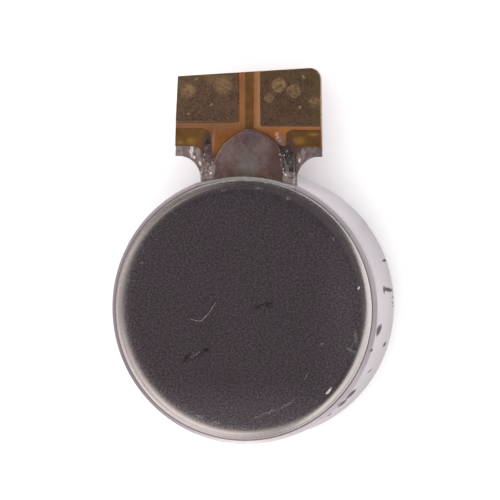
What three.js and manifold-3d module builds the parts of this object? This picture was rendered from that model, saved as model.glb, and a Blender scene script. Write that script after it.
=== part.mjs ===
// Coin vibration motor: a flat brush motor that turns an off-centre rotor
// inside a drawn steel case, with a flexible printed circuit tab for its two
// electrical contacts.
//
// Millimetres, +Z up. The origin is the centre of the flat back of the case,
// the coin's axis is Z, and the contact tab leaves towards +Y. The cover, the
// contacts and the support tongue face +Z.
import * as THREE from 'three';
import { mergeVertices } from 'three/addons/utils/BufferGeometryUtils.js';
import Module from 'manifold-3d';

const wasm = await Module();
wasm.setup();

// ---------------------------------------------------------------- dimensions
const CASE_D = 8.0;          // outside diameter of the coin
const CASE_H = 3.4;          // thickness over both faces
const SHEET = 0.13;          // case sheet
const CASE_R = CASE_D / 2;
const BORE_R = CASE_R - SHEET;
const CASE_EDGE = 0.25;      // draw radius round the back
const RIM_Z = 3.15;          // top of the case wall
const BOSS_R = 0.62;         // coined boss that holds the shaft
const BOSS_Z = 0.40;

const COVER_T = 0.20;        // cover sheet
const COVER_R = 3.86;        // outside of the cover's skirt
const SHOULDER = 0.35;       // outer radius of the cover's rolled shoulder
const SKIRT_Z = 2.93;
const STEP = 0.35;           // how far the tongue and the film drop at the neck
const TONGUE_Z = CASE_H - STEP;             // top of the tongue
const FILM_T = 0.10;         // flexible circuit, all layers
const FILM_IN_Z = CASE_H - COVER_T - FILM_T - 0.005;   // its underside inside
const FILM_OUT_Z = FILM_IN_Z - STEP;                   // its underside outside
const BASE_T = 0.045;        // base film and its glue
const COPPER_T = 0.020;
const PAD_T = 0.020;         // gold-plated contact on the copper
const TAB_CX = 0.06;         // the tab sits a little off the centre line

const SHAFT_R = 0.30;
const BUSH_BORE_R = 0.32;    // 0.02 running clearance on the shaft
const BUSH_R = 0.62;

const MAGNET_RI = 1.62;
const MAGNET_RO = 3.10;
const MAGNET_Z0 = 2.38;
const MAGNET_Z1 = 3.085;

const ROTOR_R = 3.55;
const FRAME_Z0 = 0.60;
const FRAME_Z1 = 2.03;
const POCKET_Z = 0.72;
const BOARD_Z0 = 2.035;
const BOARD_Z1 = 2.155;
const SEG_Z1 = 2.185;        // running face of the commutator
const COIL_RO = 1.05;
const COIL_RI = 0.38;
const COIL_AT = 2.25;        // radius at which the coils sit
const COIL_ANGLE = 62;       // degrees each side of the counterweight
const WEIGHT_HALF = 30;      // half angle of the counterweight
const ROTOR_HALF = 97;       // half angle of the rotor's fan
const SEGMENTS = 6;

const rad = (d) => (d * Math.PI) / 180;

// ------------------------------------------------------------------ helpers
// A closed geometry becomes a solid: only positions are kept, shared corners
// are merged, flat triangles are dropped, and the faces are turned outwards.
function solid(geometry) {
  const g = geometry.clone();
  for (const name of Object.keys(g.attributes)) {
    if (name !== 'position') g.deleteAttribute(name);
  }
  const m = mergeVertices(g, 1e-5);
  const p = m.attributes.position.array;
  const idx = [];
  let volume = 0;
  const src = m.index.array;
  for (let i = 0; i < src.length; i += 3) {
    const [a, b, c] = [src[i], src[i + 1], src[i + 2]];
    if (a === b || b === c || a === c) continue;
    idx.push(a, b, c);
    const [ax, ay, az] = [p[3 * a], p[3 * a + 1], p[3 * a + 2]];
    const [bx, by, bz] = [p[3 * b], p[3 * b + 1], p[3 * b + 2]];
    const [cx, cy, cz] = [p[3 * c], p[3 * c + 1], p[3 * c + 2]];
    volume += ax * (by * cz - bz * cy) + ay * (bz * cx - bx * cz) + az * (bx * cy - by * cx);
  }
  if (volume < 0) {
    for (let i = 0; i < idx.length; i += 3) [idx[i + 1], idx[i + 2]] = [idx[i + 2], idx[i + 1]];
  }
  return new wasm.Manifold(new wasm.Mesh({
    numProp: 3,
    vertProperties: new Float32Array(p),
    triVerts: new Uint32Array(idx),
  }));
}

function toGeometry(manifold) {
  const mesh = manifold.getMesh();
  const g = new THREE.BufferGeometry();
  g.setAttribute('position', new THREE.BufferAttribute(new Float32Array(mesh.vertProperties), 3));
  g.setIndex(new THREE.BufferAttribute(new Uint32Array(mesh.triVerts), 1));
  g.computeVertexNormals();
  return g;
}

// Solid of revolution about Z from [radius, height] points.
function revolve(points, segments = 48, turn = 0) {
  const profile = points.map(([r, z]) => new THREE.Vector2(r, z));
  const g = new THREE.LatheGeometry(profile, segments);
  g.rotateX(Math.PI / 2);
  g.rotateZ(rad(turn));
  return solid(g);
}

const ring = (ri, ro, z0, z1, c = 0, segments = 48) => revolve([
  [ri, z0 + c], [ri + c, z0], [ro - c, z0], [ro, z0 + c],
  [ro, z1 - c], [ro - c, z1], [ri + c, z1], [ri, z1 - c], [ri, z0 + c],
].filter((q, i, all) => i === 0 || q[0] !== all[i - 1][0] || q[1] !== all[i - 1][1]), segments);

const disc = (ro, z0, z1, segments = 48) => revolve([[0, z0], [ro, z0], [ro, z1], [0, z1]], segments);

// A flat outline in XY, raised between two heights.
function slab(points, z0, z1) {
  const shape = new THREE.Shape(points.map(([x, y]) => new THREE.Vector2(x, y)));
  const g = new THREE.ExtrudeGeometry(shape, { depth: z1 - z0, bevelEnabled: false });
  g.translate(0, 0, z0);
  return solid(g);
}

function block(x0, x1, y0, y1, z0, z1) {
  const g = new THREE.BoxGeometry(x1 - x0, y1 - y0, z1 - z0);
  g.translate((x0 + x1) / 2, (y0 + y1) / 2, (z0 + z1) / 2);
  return solid(g);
}

// A section in YZ, carried along X.
function along(points, x0, x1) {
  const shape = new THREE.Shape(points.map(([y, z]) => new THREE.Vector2(y, z)));
  const g = new THREE.ExtrudeGeometry(shape, { depth: x1 - x0, bevelEnabled: false });
  // shape x -> world Y, shape y -> world Z, depth -> world X
  g.applyMatrix4(new THREE.Matrix4().set(0, 0, 1, x0, 1, 0, 0, 0, 0, 1, 0, 0, 0, 0, 0, 1));
  return solid(g);
}

// A sheet that lies flat inside the case, drops by STEP at the neck and lies
// flat again on the tab. z is the height of its underside inside the case.
const DROP_Y0 = 3.20;
const DROP_Y1 = 3.57;
function steppedSheet(z, t) {
  return along([
    [-5, z], [DROP_Y0, z], [DROP_Y1, z - STEP], [9, z - STEP],
    [9, z - STEP + t], [DROP_Y1, z - STEP + t], [DROP_Y0, z + t], [-5, z + t],
  ], -5, 5);
}

function arc(cx, cy, r, a0, a1, n) {
  const pts = [];
  for (let i = 0; i <= n; i += 1) {
    const a = rad(a0 + ((a1 - a0) * i) / n);
    pts.push([cx + r * Math.cos(a), cy + r * Math.sin(a)]);
  }
  return pts;
}

// Wedge of a ring between two angles, as an outline.
const sector = (ri, ro, a0, a1, n) => [
  ...arc(0, 0, ro, a0, a1, n),
  ...arc(0, 0, ri, a1, a0, Math.max(2, Math.round(n / 2))),
];

const group = new THREE.Group();
function add(name, manifold, look) {
  const mesh = new THREE.Mesh(toGeometry(manifold), new THREE.MeshStandardMaterial(look));
  mesh.name = name;
  group.add(mesh);
}

// ------------------------------------------------------------------- finishes
const STEEL = { color: 0xc6c0c6, metalness: 0.9, roughness: 0.35 };
const DARK_STEEL = { color: 0x5d5459, metalness: 0.85, roughness: 0.38 };
const STAINLESS = { color: 0x8d8588, metalness: 0.9, roughness: 0.3 };
const GOLD = { color: 0x6f573f, metalness: 0.85, roughness: 0.4 };
const COPPER = { color: 0x8a5a2c, metalness: 0.85, roughness: 0.35 };
const AMBER = { color: 0x8a4f22, metalness: 0.0, roughness: 0.35 };
const GLUE = { color: 0x6b605c, metalness: 0.0, roughness: 0.15 };

// ------------------------------------------------------------------ the tab
// Outline of the contact tab: a slanted top edge, one rounded corner, and
// concave fillets that run down into the neck.
const NECK_L = -1.39;
const NECK_R = 1.515;
const WING_Z = 4.51;         // Y of the wings' lower edge
const tabOutline = [
  [NECK_L, 3.66], [NECK_R, 3.66], [NECK_R, 3.90],
  [1.545, 4.03], [1.60, 4.16], [1.69, 4.29], [1.81, 4.40], [1.95, 4.48], [2.10, 4.515],
  [2.277, 4.517],
  [2.235, 6.80], [2.205, 6.93], [2.145, 7.03], [2.05, 7.105], [1.93, 7.145], [1.80, 7.140],
  [-2.072, 6.882],
  [-2.157, WING_Z],
  [-1.98, 4.51], [-1.83, 4.47], [-1.70, 4.41], [-1.58, 4.31], [-1.49, 4.19], [-1.43, 4.07],
  [-1.395, 3.94],
];

// The film itself is a little narrower at the neck and stops higher on the
// wings, so the steel plate behind it shows there.
const FILM_WING_Y = 4.81;
const filmOutline = [
  [-1.22, 3.0], [1.34, 3.0], [1.34, 4.10], [1.40, 4.40], [1.52, 4.64], [1.66, 4.77], [1.80, FILM_WING_Y],
  [2.272, FILM_WING_Y],
  [2.235, 6.80], [2.205, 6.93], [2.145, 7.03], [2.05, 7.105], [1.93, 7.145], [1.80, 7.140],
  [-2.072, 6.882],
  [-2.146, FILM_WING_Y],
  [-1.55, FILM_WING_Y], [-1.42, 4.75], [-1.32, 4.60], [-1.25, 4.38], [-1.22, 4.12],
];

const STRIP_L = -1.15;       // the film's strip inside the case
const STRIP_R = 1.25;
const INNER_R = 1.56;        // round end of the film inside the magnet

function filmPlan(z0, z1) {
  return slab(filmOutline, z0, z1)
    .add(block(STRIP_L, STRIP_R, 0.4, 3.2, z0, z1))
    .add(disc(INNER_R, z0, z1, 40))
    .subtract(disc(0.5, z0 - 1, z1 + 1, 24));
}

const BRUSH_X = 0.90;
const BRUSH_W = 0.34;
const windows = [-1, 1].map((s) => block(
  s * BRUSH_X - BRUSH_W / 2 - 0.03, s * BRUSH_X + BRUSH_W / 2 + 0.03, 0.42, 1.13, 2, 4));

const plan = filmPlan(2, 4);
const baseFilm = steppedSheet(FILM_IN_Z, BASE_T).intersect(plan).subtract(windows[0]).subtract(windows[1]);

// contact pads
const padLeft = [[-2.145, 5.52], [-0.145, 5.55], [-0.165, 7.012], [-2.076, 6.884]];
const padRight = [
  [0.43, 5.42], [2.262, 5.43], [2.235, 6.80], [2.205, 6.93], [2.145, 7.03], [2.05, 7.105],
  [1.93, 7.145], [1.80, 7.140], [0.425, 7.048],
];
const grow = 0.02;
const padLeftHole = [[-2.3, 5.52 - grow], [-0.145 + grow, 5.55 - grow], [-0.165 + grow, 7.3], [-2.3, 7.3]];
const padRightHole = [[0.43 - grow, 5.42 - grow], [2.4, 5.43 - grow], [2.4, 7.3], [0.425 - grow, 7.3]];

// copper, one field for each contact: under the pad, down the wing, along the
// neck and in to the land that its brush is soldered to
const COPPER_Z = FILM_IN_Z + BASE_T + 0.002;
const copperLeft = slab([
  [-2.10, 4.86], [-1.26, 4.86], [-1.10, 4.40], [-1.08, 0.35], [-0.62, 0.35], [-0.60, 4.60],
  [-1.15, 5.32], [-0.18, 5.58], [-0.20, 6.97], [-2.05, 6.84], [-2.10, 5.4],
], 2, 4);
const copperRight = slab([
  [2.23, 4.86], [1.56, 4.86], [1.20, 4.40], [1.08, 0.35], [0.62, 0.35], [0.72, 4.60],
  [1.20, 5.25], [0.47, 5.45], [0.46, 7.01], [1.80, 7.10], [1.91, 7.10], [2.02, 7.06], [2.12, 6.98],
  [2.17, 6.90], [2.20, 6.78], [2.22, 5.4],
], 2, 4);
const copperMid = slab([[-0.02, 4.2], [0.24, 4.2], [0.24, 7.0], [-0.02, 6.98]], 2, 4);
const copperSheet = steppedSheet(COPPER_Z, COPPER_T);

const COVERLAY_Z = COPPER_Z + COPPER_T + 0.002;
const coverlay = steppedSheet(COVERLAY_Z, FILM_IN_Z + FILM_T - COVERLAY_Z)
  .intersect(plan)
  .subtract(slab(padLeftHole, 2, 4))
  .subtract(slab(padRightHole, 2, 4));

// ------------------------------------------------------------------- the case
const canProfile = [
  [0, 0],
  ...arc(CASE_R - CASE_EDGE, CASE_EDGE, CASE_EDGE, -90, 0, 5),
  [CASE_R, RIM_Z - 0.03], [CASE_R - 0.03, RIM_Z],
  [BORE_R + 0.03, RIM_Z], [BORE_R, RIM_Z - 0.03],
  ...arc(BORE_R - CASE_EDGE + SHEET, CASE_EDGE, CASE_EDGE - SHEET, 0, -90, 3),
  [BOSS_R, SHEET], [BOSS_R, BOSS_Z - 0.03], [BOSS_R - 0.03, BOSS_Z],
  [SHAFT_R + 0.01, BOSS_Z], [SHAFT_R + 0.01, SHEET], [0, SHEET],
];
const NOTCH_Z = FILM_OUT_Z - 0.155;
const can = revolve(canProfile, 72)
  .subtract(block(NECK_L - 0.03, NECK_R + 0.03, 2.5, 4.5, NOTCH_Z, 4));
add('case_can', can, STEEL);

// ------------------------------------------------------------------ the cover
const coverProfile = [
  [0, CASE_H],
  ...arc(COVER_R - SHOULDER, CASE_H - SHOULDER, SHOULDER, 90, 0, 7),
  [COVER_R, SKIRT_Z], [COVER_R - COVER_T, SKIRT_Z],
  ...arc(COVER_R - SHOULDER, CASE_H - SHOULDER, SHOULDER - COVER_T, 0, 90, 3),
  [0, CASE_H - COVER_T],
];
// the tongue that supports the neck: parallel sides and a round end
const tongueOutline = [
  [-1.06, 3.3], [1.20, 3.3], [1.205, 4.17], [1.14, 4.52], [1.03, 4.78], [0.87, 4.99],
  [0.67, 5.15], [0.44, 5.26], [0.20, 5.335], [0.03, 5.33], [-0.14, 5.25], [-0.36, 5.11],
  [-0.67, 4.85], [-0.86, 4.53], [-0.96, 4.25],
];
const tongue = slab(tongueOutline, TONGUE_Z - COVER_T, TONGUE_Z)
  .subtract(disc(3.63, 2, 4, 72));
const cover = revolve(coverProfile, 72)
  .subtract(block(-1.45, 1.58, 2.6, 4.5, 2, TONGUE_Z - COVER_T + 0.0))
  .subtract(block(-1.45, 1.58, 2.6, 4.5, 2, TONGUE_Z).subtract(slab(tongueOutline, 1.9, 4)))
  .subtract(block(-1.45, 1.58, 2.6, 4.5, 2, TONGUE_Z).intersect(disc(3.63, 1.9, 4, 72)))
  .add(tongue);
add('cover_plate', cover, DARK_STEEL);

// ------------------------------------------------------- fixed inner pieces
add('shaft', revolve([
  [0, SHEET + 0.005], [SHAFT_R - 0.04, SHEET + 0.005], [SHAFT_R, SHEET + 0.045],
  [SHAFT_R, 3.11], [SHAFT_R - 0.04, 3.15], [0, 3.15],
], 32), { color: 0xb9bcc2, metalness: 1, roughness: 0.15 });
add('lower_washer', ring(SHAFT_R + 0.02, 0.72, BOSS_Z + 0.01, BOSS_Z + 0.07, 0, 32),
  { color: 0xe9e4d8, metalness: 0, roughness: 0.5 });
add('upper_washer', ring(SHAFT_R + 0.01, 0.58, 2.20, 2.27, 0, 32),
  { color: 0xe9e4d8, metalness: 0, roughness: 0.5 });
add('ring_magnet', ring(MAGNET_RI, MAGNET_RO, MAGNET_Z0, MAGNET_Z1, 0.04, 56),
  { color: 0x4c4c50, metalness: 0.7, roughness: 0.45 });
add('magnet_adhesive', ring(MAGNET_RI + 0.05, MAGNET_RO - 0.05, 3.095, 3.19, 0, 56)
  .subtract(block(STRIP_L - 0.03, STRIP_R + 0.03, 0, 4, 2, 4)),
{ color: 0xd9d2a8, metalness: 0, roughness: 0.4 });

add('tab_stiffener', slab(tabOutline, FILM_OUT_Z - 0.125, FILM_OUT_Z - 0.005), STAINLESS);
add('fpc_base_film', baseFilm, AMBER);
add('trace_left', copperSheet.intersect(copperLeft), COPPER);
add('trace_right', copperSheet.intersect(copperRight), COPPER);
add('trace_centre', copperSheet.intersect(copperMid), COPPER);
const PAD_Z = COPPER_Z - STEP + COPPER_T + 0.002;
add('contact_pad_left', slab(padLeft, PAD_Z, PAD_Z + PAD_T), GOLD);
add('contact_pad_right', slab(padRight, PAD_Z, PAD_Z + PAD_T), GOLD);
add('fpc_coverlay', coverlay, AMBER);

// beads of adhesive that seal the film where it leaves the case
function bead(x0, x1, y0, y1, z0, h) {
  const g = new THREE.SphereGeometry(1, 14, 10);
  g.rotateX(Math.PI / 2);
  g.scale((x1 - x0) / 2, (y1 - y0) / 2, h);
  g.translate((x0 + x1) / 2, (y0 + y1) / 2, z0);
  return solid(g).subtract(block(-5, 5, 0, 9, z0 - 2, z0));
}
const FILM_TOP = FILM_OUT_Z + FILM_T + 0.005;
add('glue_bead_left', bead(-1.385, -1.085, 3.93, 4.62, FILM_TOP, 0.17), GLUE);
add('glue_bead_right', bead(1.225, 1.505, 3.93, 4.62, FILM_TOP, 0.17), GLUE);

// two leaf brushes, soldered to the film, that press on the commutator
const BRUSH_T = 0.05;
const ROOT_Z = COPPER_Z - 0.005;                    // top of the soldered root
const TIP_Z = SEG_Z1 + 0.005;
const brushProfile = [
  [1.10, ROOT_Z], [0.46, ROOT_Z], [0.30, ROOT_Z - 0.06],
  [-0.34, TIP_Z + 0.10], [-0.50, TIP_Z + BRUSH_T], [-0.66, TIP_Z + BRUSH_T + 0.03], [-0.84, TIP_Z + 0.20],
  [-0.88, TIP_Z + 0.17], [-0.68, TIP_Z], [-0.50, TIP_Z], [-0.37, TIP_Z + 0.045],
  [0.26, ROOT_Z - 0.11], [0.44, ROOT_Z - BRUSH_T], [1.10, ROOT_Z - BRUSH_T],
];
for (const [name, s] of [['left', -1], ['right', 1]]) {
  add(`brush_${name}`, along(brushProfile, s * BRUSH_X - BRUSH_W / 2, s * BRUSH_X + BRUSH_W / 2),
    { color: 0xc9a35a, metalness: 0.95, roughness: 0.25 });
  const g = new THREE.SphereGeometry(1, 14, 10);
  g.rotateX(Math.PI / 2);
  g.scale(0.13, 0.22, 0.09);
  g.translate(s * BRUSH_X, 0.80, ROOT_Z - BRUSH_T - 0.005);
  add(`brush_solder_${name}`, solid(g).subtract(block(-5, 5, -1, 3, ROOT_Z - BRUSH_T - 0.005, 4)),
    { color: 0xc8ccd0, metalness: 0.9, roughness: 0.25 });
}

// ------------------------------------------------------------------ the rotor
add('bearing_bush', ring(BUSH_BORE_R, BUSH_R, BOSS_Z + 0.085, 2.19, 0.03, 32),
  { color: 0xa87f45, metalness: 0.85, roughness: 0.5 });

const fan = (z0, z1, r) => slab(sector(0.9, r, -90 - ROTOR_HALF, -90 + ROTOR_HALF, 40), z0, z1);
const coilCentres = [-90 - COIL_ANGLE, -90 + COIL_ANGLE].map((a) => [
  COIL_AT * Math.cos(rad(a)), COIL_AT * Math.sin(rad(a))]);
const at = (m, [x, y]) => m.translate([x, y, 0]);

let frame = fan(FRAME_Z0, FRAME_Z1, ROTOR_R)
  .add(disc(1.24, FRAME_Z0, FRAME_Z1, 40))
  .subtract(disc(BUSH_R + 0.01, 0, 3, 32))
  .subtract(slab(sector(1.38, ROTOR_R - 0.06, -90 - WEIGHT_HALF - 0.6, -90 + WEIGHT_HALF + 0.6, 16), POCKET_Z, 3));
for (const c of coilCentres) frame = frame.subtract(at(disc(COIL_RO + 0.015, POCKET_Z, 3, 40), c));
add('rotor_frame', frame, { color: 0x23262b, metalness: 0, roughness: 0.55 });

const board = fan(BOARD_Z0, BOARD_Z1, ROTOR_R - 0.03)
  .add(disc(1.60, BOARD_Z0, BOARD_Z1, 40))
  .subtract(disc(BUSH_R + 0.01, 0, 3, 32));
add('commutator_board', board, { color: 0x1f5a3a, metalness: 0, roughness: 0.5 });
for (let i = 0; i < SEGMENTS; i += 1) {
  const a = (360 / SEGMENTS) * i;
  add(`commutator_segment_${i + 1}`,
    slab(sector(0.72, 1.50, a + 3, a + 360 / SEGMENTS - 3, 8), BOARD_Z1 + 0.005, SEG_Z1),
    { color: 0xd4a94f, metalness: 1, roughness: 0.25 });
}
['left', 'right'].forEach((name, i) => {
  add(`coil_${name}`, at(ring(COIL_RI, COIL_RO, POCKET_Z + 0.01, FRAME_Z1 - 0.01, 0.05, 36), coilCentres[i]),
    { color: 0xb3612b, metalness: 0.8, roughness: 0.35 });
});
add('counterweight',
  slab(sector(1.40, ROTOR_R - 0.08, -90 - WEIGHT_HALF, -90 + WEIGHT_HALF, 16), POCKET_Z + 0.01, FRAME_Z1 - 0.01),
  { color: 0x8b8d92, metalness: 0.9, roughness: 0.4 });

export default group;
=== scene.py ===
import bpy, bmesh, math
import numpy as np
from mathutils import Vector, Matrix, noise


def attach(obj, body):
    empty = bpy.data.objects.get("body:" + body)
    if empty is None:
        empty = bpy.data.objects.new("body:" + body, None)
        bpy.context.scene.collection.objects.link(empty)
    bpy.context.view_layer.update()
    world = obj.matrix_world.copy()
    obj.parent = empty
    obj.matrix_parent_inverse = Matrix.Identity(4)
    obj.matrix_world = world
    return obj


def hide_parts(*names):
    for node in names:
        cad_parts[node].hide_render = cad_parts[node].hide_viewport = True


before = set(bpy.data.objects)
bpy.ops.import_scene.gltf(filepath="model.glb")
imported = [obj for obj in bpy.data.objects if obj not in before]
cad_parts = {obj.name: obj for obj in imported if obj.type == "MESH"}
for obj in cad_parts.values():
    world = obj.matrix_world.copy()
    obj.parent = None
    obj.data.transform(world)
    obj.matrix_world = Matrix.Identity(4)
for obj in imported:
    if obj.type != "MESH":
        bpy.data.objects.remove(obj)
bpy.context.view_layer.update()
scene = bpy.context.scene
MM = 0.001

# ------------------------------------------------------------------ camera
CAM_DIR = Vector((0.19680798, 0.04425687, 0.97944267)).normalized()
CAM_RIGHT = Vector((0.98037275, 0.0029943, -0.19713017))
CAM_UP = Vector((-0.01165711, 0.9990157, -0.04279893))
CAM_POS = Vector((31.614, 8.828, 159.511)) * MM
cam_data = bpy.data.cameras.new("camera")
cam = bpy.data.objects.new("camera", cam_data)
scene.collection.objects.link(cam)
right = (CAM_RIGHT - CAM_RIGHT.dot(CAM_DIR) * CAM_DIR).normalized()
up = CAM_DIR.cross(right).normalized()
cam.matrix_world = Matrix((
    (right.x, up.x, CAM_DIR.x, CAM_POS.x),
    (right.y, up.y, CAM_DIR.y, CAM_POS.y),
    (right.z, up.z, CAM_DIR.z, CAM_POS.z),
    (0, 0, 0, 1)))
cam_data.sensor_width = 36.0
cam_data.lens = 389.19
cam_data.clip_start = 0.005
cam_data.clip_end = 60.0
scene.camera = cam


# ------------------------------------------------------------- mesh helpers
def rad(d):
    return d * math.pi / 180.0


def arc(cx, cy, r, a0, a1, n):
    return [(cx + r * math.cos(rad(a0 + (a1 - a0) * i / n)), cy + r * math.sin(rad(a0 + (a1 - a0) * i / n)))
            for i in range(n + 1)]


def spline(pts, n=6):
    """Catmull-Rom curve through the points, n steps a span."""
    p = [Vector(q) for q in pts]
    ext = [p[0] * 2 - p[1]] + p + [p[-1] * 2 - p[-2]]
    out = []
    for i in range(1, len(ext) - 2):
        a, b, c, d = ext[i - 1:i + 3]
        for k in range(n):
            t = k / n
            out.append(tuple(0.5 * ((2 * b) + (c - a) * t + (2 * a - 5 * b + 4 * c - d) * t * t
                                    + (3 * b - a - 3 * c + d) * t ** 3)))
    out.append(tuple(p[-1]))
    return out


def new_object(name, verts, faces, smooth=38, index=None):
    me = bpy.data.meshes.new(name)
    me.from_pydata([(x * MM, y * MM, z * MM) for x, y, z in verts], [], faces)
    me.validate()
    bm = bmesh.new()
    bm.from_mesh(me)
    bmesh.ops.remove_doubles(bm, verts=bm.verts, dist=1e-8)
    bmesh.ops.recalc_face_normals(bm, faces=bm.faces)
    bm.to_mesh(me)
    bm.free()
    for p in me.polygons:
        p.use_smooth = True
    me.set_sharp_from_angle(angle=rad(smooth))
    o = bpy.data.objects.new(name, me)
    scene.collection.objects.link(o)
    return o


def finish_mesh(o, smooth=38):
    me = o.data
    for p in me.polygons:
        p.use_smooth = True
    me.set_sharp_from_angle(angle=rad(smooth))


def drop_flaps(o):
    """Takes out the back-to-back slivers that a boolean can leave on a closed mesh."""
    bm = bmesh.new()
    bm.from_mesh(o.data)
    bmesh.ops.triangulate(bm, faces=[q for q in bm.faces if len(q.verts) > 3])
    for _ in range(4):
        seen, dead = {}, set()
        for q in bm.faces:
            key = frozenset(v.index for v in q.verts)
            if key in seen:
                dead.update((q, seen[key]))
            seen[key] = q
        dead.update(q for q in bm.faces if sum(len(e.link_faces) == 1 for e in q.edges) >= 2)
        if not dead or len(dead) > 24:
            break
        bmesh.ops.delete(bm, geom=list(dead), context="FACES")
        bm.verts.index_update()
    bm.to_mesh(o.data)
    bm.free()


def lathe_data(profile, seg=256, wave=None):
    """Solid of revolution from (r, z) points: closed on itself, or starting and ending on the axis."""
    verts, faces, rings = [], [], []
    closed = not (profile[0][0] == 0 and profile[-1][0] == 0)
    for r, z in profile:
        if r == 0:
            rings.append([len(verts)])
            verts.append((0.0, 0.0, z))
            continue
        ring = []
        for k in range(seg):
            a = 2 * math.pi * k / seg
            x, y = r * math.cos(a), r * math.sin(a)
            dz = wave(x, y, z) if wave else 0.0
            ring.append(len(verts))
            verts.append((x, y, z + dz))
        rings.append(ring)
    pairs = [(i, i + 1) for i in range(len(rings) - 1)]
    if closed:
        pairs.append((len(rings) - 1, 0))
    for i, j in pairs:
        A, B = rings[i], rings[j]
        if len(A) == 1 and len(B) == 1:
            continue
        for k in range(seg):
            k2 = (k + 1) % seg
            if len(A) == 1:
                faces.append((A[0], B[k], B[k2]))
            elif len(B) == 1:
                faces.append((A[k], B[0], A[k2]))
            else:
                faces.append((A[k], B[k], B[k2], A[k2]))
    return verts, faces


def lathe(name, profile, seg=256, wave=None, smooth=38):
    v, f = lathe_data(profile, seg, wave)
    return new_object(name, v, f, smooth)


def area2(pts):
    return sum(a[0] * b[1] - b[0] * a[1] for a, b in zip(pts, pts[1:] + pts[:1]))


def inset(pts, d):
    """Moves a counter-clockwise outline inwards by d."""
    n, out = len(pts), []
    for i in range(n):
        a, b, c = Vector(pts[i - 1]), Vector(pts[i]), Vector(pts[(i + 1) % n])
        e1, e2 = (b - a).normalized(), (c - b).normalized()
        n1, n2 = Vector((-e1.y, e1.x)), Vector((-e2.y, e2.x))
        m = n1 + n2
        k = m.dot(n1)
        m = m * (1.0 / k if k > 0.35 else 1.0 / 0.35)
        out.append((b.x + m.x * d, b.y + m.y * d))
    return out


def rslab_data(outline, z0, z1, rt=0.02, rb=0.0, n=3, lift=None):
    pts = list(outline)
    if area2(pts) < 0:
        pts = pts[::-1]
    rings = []
    if rb > 0:
        rings.append((rb + 0.012, z0))
        for i in range(n + 1):
            a = rad(90 * i / n)
            rings.append((rb * (1 - math.sin(a)), z0 + rb * (1 - math.cos(a))))
    else:
        rings.append((0.0, z0))
    if rt > 0:
        for i in range(n + 1):
            a = rad(90 * i / n)
            rings.append((rt * (1 - math.cos(a)), z1 - rt * (1 - math.sin(a))))
        rings.append((rt + 0.012, z1))
    else:
        rings.append((0.0, z1))
    verts, faces, N = [], [], len(pts)
    for d, z in rings:
        q = inset(pts, d) if d > 0 else pts
        for x, y in q:
            verts.append((x, y, z + (lift(x, y) if lift else 0.0)))
    for j in range(len(rings) - 1):
        for k in range(N):
            k2 = (k + 1) % N
            faces.append((j * N + k, j * N + k2, (j + 1) * N + k2, (j + 1) * N + k))
    faces.append(tuple(range(N))[::-1])
    faces.append(tuple((len(rings) - 1) * N + k for k in range(N)))
    return verts, faces


def rslab(name, outline, z0, z1, rt=0.02, rb=0.0, n=3, lift=None, smooth=38):
    v, f = rslab_data(outline, z0, z1, rt, rb, n, lift)
    return new_object(name, v, f, smooth)


def join(name, *objs):
    """One object from several separate shells."""
    bm = bmesh.new()
    mats = []
    for o in objs:
        start = len(bm.faces)
        bm.from_mesh(o.data)
        bm.faces.ensure_lookup_table()
        for m in o.data.materials:
            if m not in mats:
                mats.append(m)
        for f in bm.faces[start:]:
            if o.data.materials:
                f.material_index = mats.index(o.data.materials[f.material_index])
    me = bpy.data.meshes.new(name)
    bm.to_mesh(me)
    bm.free()
    for m in mats:
        me.materials.append(m)
    for o in objs:
        bpy.data.objects.remove(o)
    out = bpy.data.objects.new(name, me)
    scene.collection.objects.link(out)
    finish_mesh(out)
    return out


def boolean(o, cutter, op):
    m = o.modifiers.new("cut", "BOOLEAN")
    m.operation, m.solver, m.object = op, "EXACT", cutter
    dg = bpy.context.evaluated_depsgraph_get()
    me = bpy.data.meshes.new_from_object(o.evaluated_get(dg))
    o.modifiers.clear()
    o.data = me
    bpy.data.objects.remove(cutter)
    finish_mesh(o)


def bevel(o, width, segments=2, angle=40):
    m = o.modifiers.new("bevel", "BEVEL")
    m.width, m.segments, m.limit_method, m.angle_limit = width * MM, segments, "ANGLE", rad(angle)
    m.harden_normals = False
    dg = bpy.context.evaluated_depsgraph_get()
    me = bpy.data.meshes.new_from_object(o.evaluated_get(dg))
    o.modifiers.clear()
    o.data = me
    finish_mesh(o)


def place(o, mat, body, replaces=()):
    if mat is not None:
        o.data.materials.clear()
        o.data.materials.append(mat)
    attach(o, body)
    if replaces:
        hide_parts(*replaces)
    return o


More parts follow.
